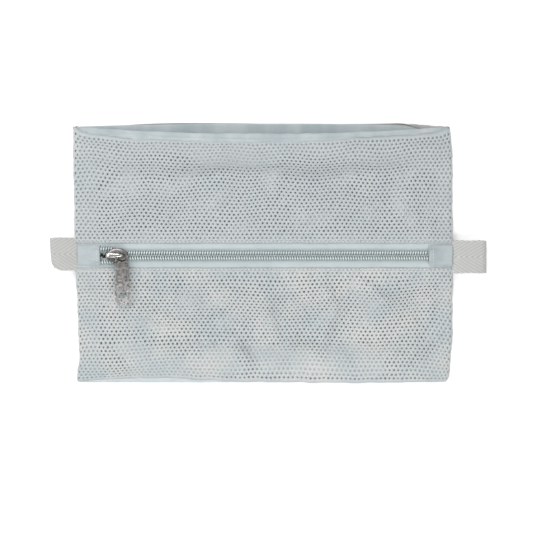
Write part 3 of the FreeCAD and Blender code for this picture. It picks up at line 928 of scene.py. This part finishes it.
# ============================================================ gussets
GUSSET_THICK = 0.4
GUSSET_HALF = HALF_WIDTH - 1.6
GUSSET_GRID = (221, 67)
GUSSET_GAP = 0.95           # a gusset stays this far under the front's upper face
TOP_FOLD_FULL = (
    (70.8, 13.9), (72.6, 13.5), (73.5, 13.9), (74.5, 14.9), (76.2, 15.1), (77.6, 13.9),
    (76.0, 13.4), (70.0, 14.8), (64.0, 14.6), (59.5, 13.0), (57.2, 9.5), (58.5, 5.6),
    (65.0, 3.4), (74.0, 2.4), (84.0, 1.8), (85.0, 1.4),
)
TOP_FOLD_FLAT = (
    (77.6, 2.3), (79.8, 2.35), (81.8, 2.5), (83.2, 2.45), (83.4, 2.35), (83.2, 2.2),
    (82.0, 2.1), (75.0, 2.0), (68.0, 1.9), (61.0, 1.85), (57.5, 1.75), (61.0, 1.65),
    (67.0, 1.6), (74.0, 1.5), (82.2, 1.35), (83.0, 1.2),
)
BOTTOM_FOLD_FULL = (
    (75.4, 9.9), (77.4, 10.0), (79.6, 9.9), (81.0, 8.9), (80.0, 8.4), (73.0, 12.0),
    (66.0, 12.2), (60.5, 11.0), (57.5, 7.8), (59.0, 4.6), (66.0, 2.8), (78.0, 1.7),
    (80.6, 1.5), (81.2, 1.2),
)
BOTTOM_FOLD_FLAT = (
    (78.6, 2.2), (79.8, 2.3), (80.8, 2.3), (81.4, 2.2), (80.9, 2.1), (75.0, 2.0),
    (68.0, 1.95), (61.0, 1.85), (57.5, 1.75), (61.0, 1.65), (68.0, 1.55), (79.0, 1.4),
    (80.4, 1.35), (81.1, 1.2),
)


def keep_under(grid, cloth, gap):
    """Lowers points of the grid that come nearer than gap to the front panel above."""
    past_hem = cloth.grid[np.argsort(cloth.grid[:, -1, 0]), HEM_ROWS:]
    columns = past_hem[:, 0, 0]
    for i in range(len(grid)):
        near = np.clip(np.searchsorted(columns, grid[i, 0, 0]), 1, len(columns) - 2)
        distance = np.abs(grid[i, :, 1])
        for k in (near - 1, near, near + 1):
            edge = np.abs(past_hem[k, :, 1])
            limit = np.interp(distance, edge, past_hem[k, :, 2]) - gap
            under = distance < edge[-1] - 0.4
            grid[i, under, 2] = np.minimum(grid[i, under, 2], limit[under])


def add_gusset(name, node, full, flat, side, cloth, material, seed):
    """A smooth cloth strip, folded inward, whose front edge rolls out of the seam."""
    across = np.linspace(-GUSSET_HALF, GUSSET_HALF, GUSSET_GRID[0])
    length = run_lengths(full)[-1]
    share = np.linspace(0.0, 1.0, GUSSET_GRID[1])
    grid = lofted(flat, full, across, share, side)
    normals = grid_normals(grid)
    crinkle = np.empty(grid.shape[:2])
    for i, x in enumerate(across):
        for j, s in enumerate(share):
            crinkle[i, j] = noise.fractal(Vector((x / 9.0, s * 2.2, seed)), 1.0, 2.0, 2)
            crinkle[i, j] += 1.3 * noise.noise(Vector((x / 26.0, s * 1.6, seed + 3.0)))
    amount = 0.55 * puff(across)[:, None] * np.sin(pi * share)[None, :] ** 0.5
    grid += normals * (crinkle * amount)[:, :, None]
    wander_sides(grid)
    keep_under(grid, cloth, GUSSET_GAP)
    if side < 0:
        grid = grid[::-1]
    uv = flat_grid(across, share * length)
    piece = sheet_piece(name, grid, GUSSET_THICK, uv, material, "gusset_polyester")
    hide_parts(node)


add_gusset(
    "top_gusset_cloth", "top_gusset", TOP_FOLD_FULL, TOP_FOLD_FLAT, 1,
    upper_cloth, GUSSET_CLOTH_PAINTED_SHADE, 5.0,
)
add_gusset(
    "bottom_gusset_cloth", "bottom_gusset", BOTTOM_FOLD_FULL, BOTTOM_FOLD_FLAT, -1,
    lower_cloth, BOTTOM_CLOTH_PAINTED_LIGHT, 8.0,
)


# ============================================================ zip
COIL_PITCH = 1.62
WIRE_RADIUS = 0.30
PARTED_TO = slider_low[0] + 2.9
CLOSED_FROM = PARTED_TO + 5.5
PARTED_GAP = 2.6
COIL_END = coil_high[0]
CORD_RADIUS = 0.38
CORD_PLACE = 2.0            # a filler cord's distance from the centre line
TAPE_THICK = 0.45
TAPE_INNER = 1.0            # a tape's inner edge to the centre line
TAPE_WIDTH = 13.6


def coil_shift(x):
    """How far a coil stands off the centre line at x, parted in front of the slider."""
    return PARTED_GAP * smoothstep(CLOSED_FROM, PARTED_TO, x)


def add_coil(name, node, side):
    """One nylon coil: a wire wound round its filler cord, its heads past the middle."""
    turns = int(2 * COIL_END / COIL_PITCH)
    per_turn = 14
    t = np.arange(turns * per_turn + 1) / per_turn
    phase = 2 * pi * t
    x = -COIL_END + t * COIL_PITCH + (0.5 * COIL_PITCH if side < 0 else 0.0)
    middle, reach, rise = 1.52, 1.72, 0.78
    distance = middle - reach * np.cos(phase) + coil_shift(x)
    height = COIL_MIDDLE + rise * np.sin(phase) - end_drop(x)
    path = np.stack([x, side * distance, height], axis=1)
    swell = 1.0 + 0.25 * np.clip(np.cos(phase), 0.0, 1.0)
    add_part(name, node, tube_mesh(path, WIRE_RADIUS * swell, 6), NYLON, "zip_coil")


def beside_zip(x, side, distance, height):
    """Points along the zip that part and drop with the coils."""
    y = side * (distance + coil_shift(x))
    return np.stack([x, y, height - end_drop(x)], axis=1)


def add_coil_sewing(name, node, side):
    """Lock stitches over a coil, one over each of its turns and slanting with it."""
    count = int(2 * (COIL_END - 1.5) / COIL_PITCH)
    first = -COIL_END + (1.25 if side > 0 else 1.75) * COIL_PITCH
    centres = beside_zip(first + COIL_PITCH * np.arange(count), side, 1.75, COIL_TOP - 0.02)
    slant = (0.3, side * 0.95, 0.0)
    stitches = [stitch(c, slant, length=1.6, radius=0.38, bow=0.14) for c in centres]
    add_part(name, node, joined(stitches), COIL_THREAD, "sewing_thread")


def add_filler_cord(name, node, side):
    """The cord that a coil is wound round."""
    x = np.linspace(-COIL_END + 0.2, COIL_END - 0.2, 180)
    path = beside_zip(x, side, CORD_PLACE, COIL_MIDDLE)
    add_part(name, node, tube_mesh(path, CORD_RADIUS, 8), CORD, "zip_coil")


def add_tape(name, node, side):
    """Woven tape: flat with a slight wave, and down into the side seams."""
    x = np.linspace(-HALF_WIDTH + 1.0, HALF_WIDTH - 1.0, 201)
    outer = np.linspace(3.0, TAPE_INNER + TAPE_WIDTH, 16)
    distance = np.concatenate([[TAPE_INNER, 1.3, 2.0], outer])
    parting = 0.2 * coil_shift(x)[:, None] * smoothstep(7.0, 1.0, distance)
    wave = 0.12 * np.sin(x / 7.0)[:, None] * smoothstep(2.0, 5.0, distance)
    height = TAPE_TOP - end_drop(x)[:, None] + wave
    grid = point_grid(x[:, None], side * (distance + parting), height)
    if side < 0:
        grid = grid[::-1]
    piece = sheet_piece(name, grid, TAPE_THICK, flat_grid(x, distance), TAPE_CLOTH, "zip_tape")
    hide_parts(node)


def add_topstitch(name, node, cloth, full):
    """Straight stitches along the folded mesh edge."""
    v = run_lengths(full)[3] + 0.75
    end = PATCH_EDGE - 1.0
    mesh = stitch_line(
        lambda u: cloth.at(u, v, 0.12), -end, end, length=1.9, gap=0.65, radius=0.33
    )
    add_part(name, node, mesh, THREAD, "sewing_thread")


for side, half, cloth, full in (
    (1, "upper", upper_cloth, UPPER_FULL), (-1, "lower", lower_cloth, LOWER_FULL)
):
    add_tape(f"tape_{half}", f"zip_tape_{half}", side)
    add_coil(f"coil_{half}", f"zip_coil_{half}", side)
    add_filler_cord(f"filler_cord_{half}", f"coil_cord_{half}", side)
    add_coil_sewing(f"coil_sewing_{half}", f"coil_thread_{half}", side)
    add_topstitch(f"topstitch_{half}", f"zip_topstitch_{half}", cloth, full)


# ============================================================ seams and side strips
STRIP_THICK = 0.3
STRIP_DROP = 0.7            # strip's upper face under the front panel's
STRIP_WIDTH_LEFT = 14.6
STRIP_WIDTH_RIGHT = 10.2
SEAM_ENDS = HALF_WIDTH - 4.0
SEAM_LIFT = 0.3             # a seam's stitches over the back panel
FRONT_SEAM_LIFT = -0.85     # and under the front panels' upper faces
FRONT_SEAM_IN = 1.6         # a seam's distance from the cloth's edge
OPEN_SEAM_IN = 6.0          # and from the back's curled edge
SIDE_SEAM_IN = 7.75


def add_side_strips(name, node, side, width):
    """The seam allowance turned in along a side: a strip under each front panel."""
    parts, uvs = [], []
    outer = FLAT_HALF - 1.6
    for cloth, full in ((upper_cloth, UPPER_FULL), (lower_cloth, LOWER_FULL)):
        knots = run_lengths(full)
        along = np.linspace(knots[4], knots[-1] - 2.0, 61)
        frayed = 0.35 * np.sin(along / 3.1) + 0.25 * np.sin(along / 1.3 + 1.0)
        share = np.linspace(0.0, 1.0, 9)
        same_way = np.sign(cloth.grid[-1, 0, 0] - cloth.grid[0, 0, 0])   # does u run with x?
        u = same_way * side * (outer - share[:, None] * (width + frayed[None, :]))
        if u[0, 0] > u[-1, 0]:
            u = u[::-1]
        v = np.broadcast_to(along, u.shape)
        grid = cloth.at(u, v, -STRIP_DROP)
        flat_uv = np.stack([u, v], axis=2)
        *mesh, part_uvs = sheet_mesh(grid, STRIP_THICK, flat_uv)
        parts.append(mesh)
        uvs.append(part_uvs)
    points, faces = joined(parts)
    piece = mesh_piece(name, points, faces, STRIP_CLOTH_PAINTED_SHADE, "mesh_polyester", np.vstack(uvs))
    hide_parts(node)


def add_seam(name, node, place, start, end):
    """A row of stitches inside a seam."""
    mesh = stitch_line(place, start, end, length=2.4, gap=0.5, radius=0.24, bow=0.0)
    add_part(name, node, mesh, THREAD, "sewing_thread")


def add_seams():
    """The stitches of the seams: front to gussets, back to gussets, and both sides."""
    for name, cloth, full in (("top", upper_cloth, UPPER_FULL), ("bottom", lower_cloth, LOWER_FULL)):
        v = run_lengths(full)[-1] - FRONT_SEAM_IN
        add_seam(
            f"{name}_front_seam", f"{name}_front_seam_thread",
            lambda u: cloth.at(u, v, FRONT_SEAM_LIFT), -SEAM_ENDS, SEAM_ENDS,
        )
    for name, v in (("top", back.vs[-1] - OPEN_SEAM_IN), ("bottom", FRONT_SEAM_IN)):
        add_seam(
            f"{name}_back_seam", f"{name}_back_seam_thread",
            lambda u: back.at(u, v, SEAM_LIFT), -SEAM_ENDS, SEAM_ENDS,
        )
    for name, side in (("left", -1), ("right", 1)):
        u = side * (HALF_WIDTH - SIDE_SEAM_IN)
        add_seam(
            f"{name}_side_seam", f"side_seam_thread_{name}",
            lambda v: back.at(u, v, SEAM_LIFT), 26.0, back.vs[-1] - 28.0,
        )


# ============================================================ zip's end patches
PATCH_HALF = patch_high[1]
PATCH_THICK = 0.35
PATCH_LIFT = 0.45           # a patch's upper face over the tape's
PATCH_SWELL = 0.5           # and how much more it rises away from its edges
PATCH_OVER_COIL = 2.8       # and the whole of that rise over the coils' ends
LEFT_PATCH_STITCH = 106.9
RIGHT_PATCH_STITCH = 107.8


def patch_height(x, y):
    """Top of an end patch: over the coils' ends, then down into the side seam."""
    over_coil = smoothstep(5.6, 2.6, np.abs(y)) * smoothstep(116.0, 106.0, np.abs(x))
    soft = 0.18 * np.sin(y * 1.1 + 0.6) * smoothstep(106.0, 110.0, np.abs(x))
    swell = PATCH_SWELL * smoothstep(1.0, 0.7, np.abs(y) / PATCH_HALF)
    base = TAPE_TOP + PATCH_LIFT - end_drop(x)
    return base + over_coil * (PATCH_OVER_COIL - PATCH_SWELL) + swell + soft


def add_end_patch(name, node, side):
    """Smooth cloth with its edge turned under, over one end of the zip."""
    turn = ((PATCH_EDGE + 3.0, -0.72), (PATCH_EDGE + 0.6, -0.72), (PATCH_EDGE, -0.36),
            (PATCH_EDGE + 0.5, -0.04), (PATCH_EDGE + 1.6, 0.0))
    seam = HALF_WIDTH - (1.3 if side < 0 else 0.4)
    level = [(x, 0.0) for x in np.linspace(PATCH_EDGE + 2.8, seam, 14)]
    fine, length = even_run(turn + tuple(level), 44)
    across = np.linspace(-PATCH_HALF, PATCH_HALF, 33)
    x = side * (fine[:, :1] + 0.12 * np.sin(across / 1.7))
    rounding = 0.35 * (np.abs(across) / PATCH_HALF) ** 12
    grid = point_grid(x, across, patch_height(x, across) + fine[:, 1:] - rounding)
    if side < 0:
        grid = grid[::-1]
    piece = sheet_piece(
        name, grid, PATCH_THICK, grid[:, :, :2], PATCH_CLOTH, "gusset_polyester"
    )
    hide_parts(node)


def add_patch_stitches(name, node, x):
    """A row of stitches across an end patch."""
    def place(y):
        column = np.full_like(y, x)
        return np.stack([column, y, patch_height(column, y) + 0.05], axis=1)

    end = PATCH_HALF - 0.4
    mesh = stitch_line(place, -end, end, length=1.35, gap=0.75, radius=0.2)
    add_part(name, node, mesh, THREAD, "sewing_thread")


# ============================================================ webbing loops
WEB_HALF = loop_high[1]
WEB_THICK = 1.1
LEFT_REACH = -left_loop_low[0] + 1.6        # before its lower corner curls back
RIGHT_REACH = loop_high[0] - 0.4


def add_web_loop(name, node, side, reach, curl, shift):
    """A webbing loop folded at its far end, with both ends in the side seam.

    curl is how much its lower corner curls back, and shift moves the loop along Y.
    """
    fold = 3.2
    section = np.array([
        (110.5, 4.3), (116.0, 4.5), (120.5, 4.9), (127.0, 6.4), (reach - fold, 6.9),
        (reach - 0.9, 5.9), (reach, 3.9), (reach - 0.9, 1.9), (reach - fold, 1.1),
        (127.0, 1.2), (120.5, 2.0), (116.0, 3.0), (110.5, 3.1),
    ])
    fine, length = even_run(section, 110)
    normal = np.stack([np.gradient(fine[:, 1]), -np.gradient(fine[:, 0])], axis=1)
    normal /= np.linalg.norm(normal, axis=1, keepdims=True)
    share = np.sin(np.linspace(-0.5 * pi, 0.5 * pi, 25))
    across = WEB_HALF * share
    rounding = 0.3 * np.abs(share) ** 10
    grid = point_grid(side * fine[:, :1], across, fine[:, 1:] - normal[:, 1:] * rounding)
    far = smoothstep(reach - 9.0, reach, np.abs(grid[:, :, 0]))
    low_corner = smoothstep(-3.0, -WEB_HALF, grid[:, :, 1])
    slant = smoothstep(WEB_HALF, -WEB_HALF, grid[:, :, 1])
    grid[:, :, 0] -= side * curl * far * (1.1 * slant + 1.6 * low_corner ** 2)
    grid[:, :, 1] += curl * far * low_corner ** 2 * 1.4
    grid[:, :, 1] += 0.12 * np.sin(grid[:, :, 0] / 2.7) * share + shift
    if side < 0:
        grid = grid[::-1]
    uv = flat_grid(np.linspace(0.0, length, len(fine)), across)
    piece = sheet_piece(name, grid, WEB_THICK, uv, WEBBING, "webbing")
    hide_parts(node)


add_side_strips("side_strip_left", "side_binding_left", -1, STRIP_WIDTH_LEFT)
add_side_strips("side_strip_right", "side_binding_right", 1, STRIP_WIDTH_RIGHT)
add_seams()
add_end_patch("end_patch_left", "zip_end_patch_left", -1)
add_end_patch("end_patch_right", "zip_end_patch_right", 1)
add_patch_stitches("end_patch_stitches_left", "patch_stitch_left", -LEFT_PATCH_STITCH)
add_patch_stitches("end_patch_stitches_right", "patch_stitch_right", RIGHT_PATCH_STITCH)
add_web_loop("loop_left", "web_loop_left", -1, LEFT_REACH, curl=1.0, shift=1.0)
add_web_loop("loop_right", "web_loop_right", 1, RIGHT_REACH, curl=0.0, shift=-0.8)


# ============================================================ slider and pull
def plate_piece(name, outlines, low, high, bevel, material, slot, body):
    """A flat plate with bevelled edges; outlines after the first are holes."""
    curve = bpy.data.curves.new(name, "CURVE")
    curve.dimensions = "2D"
    curve.fill_mode = "BOTH"
    curve.extrude = (0.5 * (high - low) - bevel) * MM
    curve.bevel_depth = bevel * MM
    curve.bevel_resolution = 4
    curve.offset = -bevel * MM
    for outline in outlines:
        spline = curve.splines.new("POLY")
        spline.points.add(len(outline) - 1)
        for point, (x, y) in zip(spline.points, outline):
            point.co = (x * MM, y * MM, 0.0, 1.0)
        spline.use_cyclic_u = True
    shape = put_in_scene(name + "_outline", curve)
    mesh = bpy.data.meshes.new_from_object(shape)
    bpy.data.objects.remove(shape)
    points = np.array([v.co for v in mesh.vertices]) / MM + (0.0, 0.0, 0.5 * (low + high))
    faces = [list(p.vertices) for p in mesh.polygons]
    bpy.data.meshes.remove(mesh)
    return mesh_piece(name, points, faces, material, slot, body=body, smooth=False)


def arc(centre, radius, start, end, steps):
    """Points along an arc, with angles in degrees."""
    angle = np.radians(np.linspace(start, end, steps))
    return np.stack([centre[0] + radius * np.cos(angle), centre[1] + radius * np.sin(angle)], 1)


SHIELD_TOP = slider_high[2] + 0.1
SHIELD_THICK = 0.7
SHIELD_EDGE = 1.3           # how far down the shield's sides turn at both its ends
WING_THICK = 1.1
# The shield's outline: (share of its length from the nose, distance from the zip).
SHIELD_SIDE = (
    (0.0, 0.6), (0.04, 1.4), (0.12, 2.5), (0.21, 3.5), (0.34, 4.5), (0.48, 4.9),
    (0.66, 4.6), (0.84, 3.6), (0.94, 2.6), (1.0, 1.6),
)
SKIRT_LOW = 8.35            # where its sides end in between, just over the tapes


def add_shield():
    """The slider's upper wing: a dome whose sides turn down round the coils."""
    share = np.linspace(0.0, 1.0, 57)
    half = np.minimum(soft_curve(SHIELD_SIDE, share), slider_high[1])
    section = (
        (0.97, 0.0), (1.0, 0.3), (1.0, 0.68), (0.95, 0.86), (0.8, 0.95), (0.45, 0.99),
        (0.0, 1.0), (-0.45, 0.99), (-0.8, 0.95), (-0.95, 0.86), (-1.0, 0.68),
        (-1.0, 0.3), (-0.97, 0.0),
    )
    fine = even_run(section, 61)[0]
    across, rise = fine[::-1, 0], fine[::-1, 1]
    skirt = smoothstep(0.12, 0.4, share) * smoothstep(0.97, 0.8, share)
    depth = SHIELD_EDGE + (SHIELD_TOP - SKIRT_LOW - SHIELD_EDGE) * skirt
    x = slider_low[0] + share * (slider_high[0] - slider_low[0])
    end_round = 0.45 * (1 - smoothstep(0.0, 0.08, share)) + 0.45 * smoothstep(0.94, 1.0, share)
    dome = SHIELD_TOP - end_round[:, None] - depth[:, None] * (1 - rise)
    grid = point_grid(x[:, None], half[:, None] * across, dome - 0.6 * np.abs(across) ** 1.6)
    piece = sheet_piece(
        "slider_shield", grid, SHIELD_THICK, grid[:, :, :2], SLIDER_GUNMETAL_AND_PAINTED_SHADE, "slider_nickel", "slider"
    )
    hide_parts("slider_body")


def outline_of(side):
    """A closed outline from one side's points, mirrored across the zip."""
    side = np.asarray(side, float)
    return np.vstack([side, side[::-1] * (1, -1)])


def add_lower_wing():
    """The slider's lower wing, a plain plate under the coils."""
    share = np.linspace(0.0, 1.0, 24)
    x = slider_low[0] + 0.3 + share * (slider_high[0] - slider_low[0] - 0.6)
    side = np.stack([x, soft_curve(SHIELD_SIDE, share) - 0.25], axis=1)
    plate_piece(
        "slider_lower_wing", [outline_of(side)], slider_low[2], slider_low[2] + WING_THICK,
        0.3, SLIDER_GUNMETAL_AND_PAINTED_SHADE, "slider_nickel", "slider",
    )


def add_post():
    """The post that joins the two wings between the parted coils."""
    side = np.array([(0.4, 0.5), (1.1, 1.0), (2.1, 1.15), (3.4, 0.7), (4.8, 0.15)])
    side[:, 0] += slider_low[0]
    plate_piece(
        "slider_post", [outline_of(side)], slider_low[2] + WING_THICK,
        SHIELD_TOP - SHIELD_THICK, 0.05, SLIDER_GUNMETAL_AND_PAINTED_SHADE, "slider_nickel", "slider",
    )


def add_crown():
    """The arch that the pull hangs from, wider at its front foot."""
    low, top = crown_low[2], crown_high[2]
    front, rear = crown_low[0], crown_high[0]
    middle = (
        (front + 0.75, low - 0.3), (front + 0.7, low + 0.8), (front + 0.85, low + 1.9),
        (front + 1.7, top - 0.85), (front + 3.2, top - 0.62), (0.5 * (front + rear), top - 0.6),
        (rear - 2.9, top - 0.62), (rear - 1.5, top - 0.9), (rear - 0.8, low + 1.9),
        (rear - 0.72, low + 0.8), (rear - 0.75, low - 0.3),
    )
    fine = even_run(middle, 71)[0]
    along = np.gradient(fine, axis=0)
    along /= np.linalg.norm(along, axis=1, keepdims=True)
    normal = np.stack([-along[:, 1], along[:, 0]], axis=1)
    half_width = 1.5 - 0.55 * smoothstep(0.3, 0.85, np.linspace(0.0, 1.0, len(fine)))
    half_thick, sides, square = 0.62, 20, 0.75
    angle = np.arange(sides) * 2 * pi / sides
    wide = np.sign(np.cos(angle)) * np.abs(np.cos(angle)) ** square
    thick = np.sign(np.sin(angle)) * np.abs(np.sin(angle)) ** square * half_thick
    grid = point_grid(
        fine[:, :1] + normal[:, :1] * thick, half_width[:, None] * wide,
        fine[:, 1:] + normal[:, 1:] * thick,
    )
    piece = mesh_piece(
        "slider_crown_arch", grid.reshape(-1, 3), ring_faces(len(fine), sides),
        CROWN_METAL_PAINTED_HIGHLIGHT, "slider_nickel", body="slider",
    )
    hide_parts("slider_crown")


def add_pull():
    """The flat pull: an eye round the crown's rear leg, and a grip hole."""
    middle = 0.5 * (pull_low[0] + pull_high[0])
    end_radius = 0.5 * (pull_high[0] - pull_low[0])
    top_radius, eye_radius, grip_half, corner = 4.1, 2.8, 3.05, 1.2
    eye = (middle, pull_high[1] - top_radius)
    end = (middle, pull_low[1] + end_radius)
    rim = np.vstack([arc(eye, top_radius, 180, 0, 41), arc(end, end_radius, 0, -180, 41)])
    hole = arc(eye, eye_radius, 0, 352.5, 48)
    grip_top = eye[1] - 20.9
    grip = np.vstack([
        arc((middle - grip_half + corner, grip_top - corner), corner, 180, 90, 9),
        arc((middle + grip_half - corner, grip_top - corner), corner, 90, 0, 9),
        arc(end, grip_half, 0, -180, 31),
    ])
    piece = plate_piece(
        "pull_plate", [rim, hole, grip], pull_low[2], pull_high[2], 0.34,
        PULL_METAL, "pull_nickel", "pull",
    )
    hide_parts("pull_tab")


add_shield()
add_lower_wing()
add_post()
add_crown()
add_pull()


# ============================================================ floor, lights, camera
FLOOR_GLOW = 0.26           # keeps the pale floor pale in the bag's soft shadow
FLOOR_HALF = 4.0
WORLD_LIGHT = 0.34
AIM = (0.0013, -0.007)      # the camera is over this place, in metres
CAMERA_HEIGHT = 0.955
# Lights: (name, place, size, power).
SOFTBOXES = (
    ("softbox_back", (-0.35, 0.95, 0.95), (0.7, 0.7), 7.4),
    ("softbox_left", (-0.95, 0.1, 0.9), (0.6, 0.8), 4.4),
    ("softbox_right", (0.95, -0.1, 1.0), (0.8, 0.8), 2.1),
    ("softbox_front", (0.1, -0.48, 0.55), (0.5, 0.25), 2.3),
)


def add_floor():
    """A matt white floor that glows a little."""
    material, tree, shader = new_material("studio_floor")
    place = object_coordinates(tree, 1.0)
    soft = noise_of(tree, place, 2.0, 2.0)
    colour = ramp_between(tree, soft, (0.94, 0.94, 0.94), (0.96, 0.96, 0.96))
    link(tree, colour, shader, "Base Color")
    shader.inputs["Roughness"].default_value = 0.9
    shader.inputs["Specular IOR Level"].default_value = 0.1
    shader.inputs["Emission Color"].default_value = (1.0, 1.0, 1.0, 1.0)
    shader.inputs["Emission Strength"].default_value = FLOOR_GLOW
    mesh = bpy.data.meshes.new("floor")
    ways = ((-1, -1), (1, -1), (1, 1), (-1, 1))
    corners = [(a * FLOOR_HALF, b * FLOOR_HALF, 0) for a, b in ways]
    mesh.from_pydata(corners, [], [[0, 1, 2, 3]])
    mesh.materials.append(material)
    floor = put_in_scene("floor", mesh)


def add_softbox(name, place, size, power):
    """A rectangular light turned to the middle of the bag."""
    light = bpy.data.lights.new(name, "AREA")
    light.shape = "RECTANGLE"
    light.size, light.size_y = size
    light.energy = power
    lamp = put_in_scene(name, light)
    lamp.location = place
    lamp.rotation_euler = (-Vector(place)).to_track_quat("-Z", "Y").to_euler()


def add_world(strength):
    """Even light from all round."""
    world = bpy.data.worlds.new("studio")
    world.use_nodes = True
    background = world.node_tree.nodes["Background"]
    background.inputs["Color"].default_value = (0.98, 0.99, 1.0, 1.0)
    background.inputs["Strength"].default_value = strength
    bpy.context.scene.world = world


def add_camera(centre, distance):
    """Straight above the bag, its long side level in the frame."""
    camera = bpy.data.cameras.new("camera")
    camera.lens = 100.0
    camera.sensor_width = 36.0
    camera.clip_start, camera.clip_end = 0.01, 20.0
    holder = put_in_scene("camera", camera)
    holder.location = (*centre, distance)
    bpy.context.scene.camera = holder


add_floor()
for box in SOFTBOXES:
    add_softbox(*box)
add_world(WORLD_LIGHT)
add_camera(AIM, CAMERA_HEIGHT)
bpy.context.scene.view_settings.view_transform = "Standard"
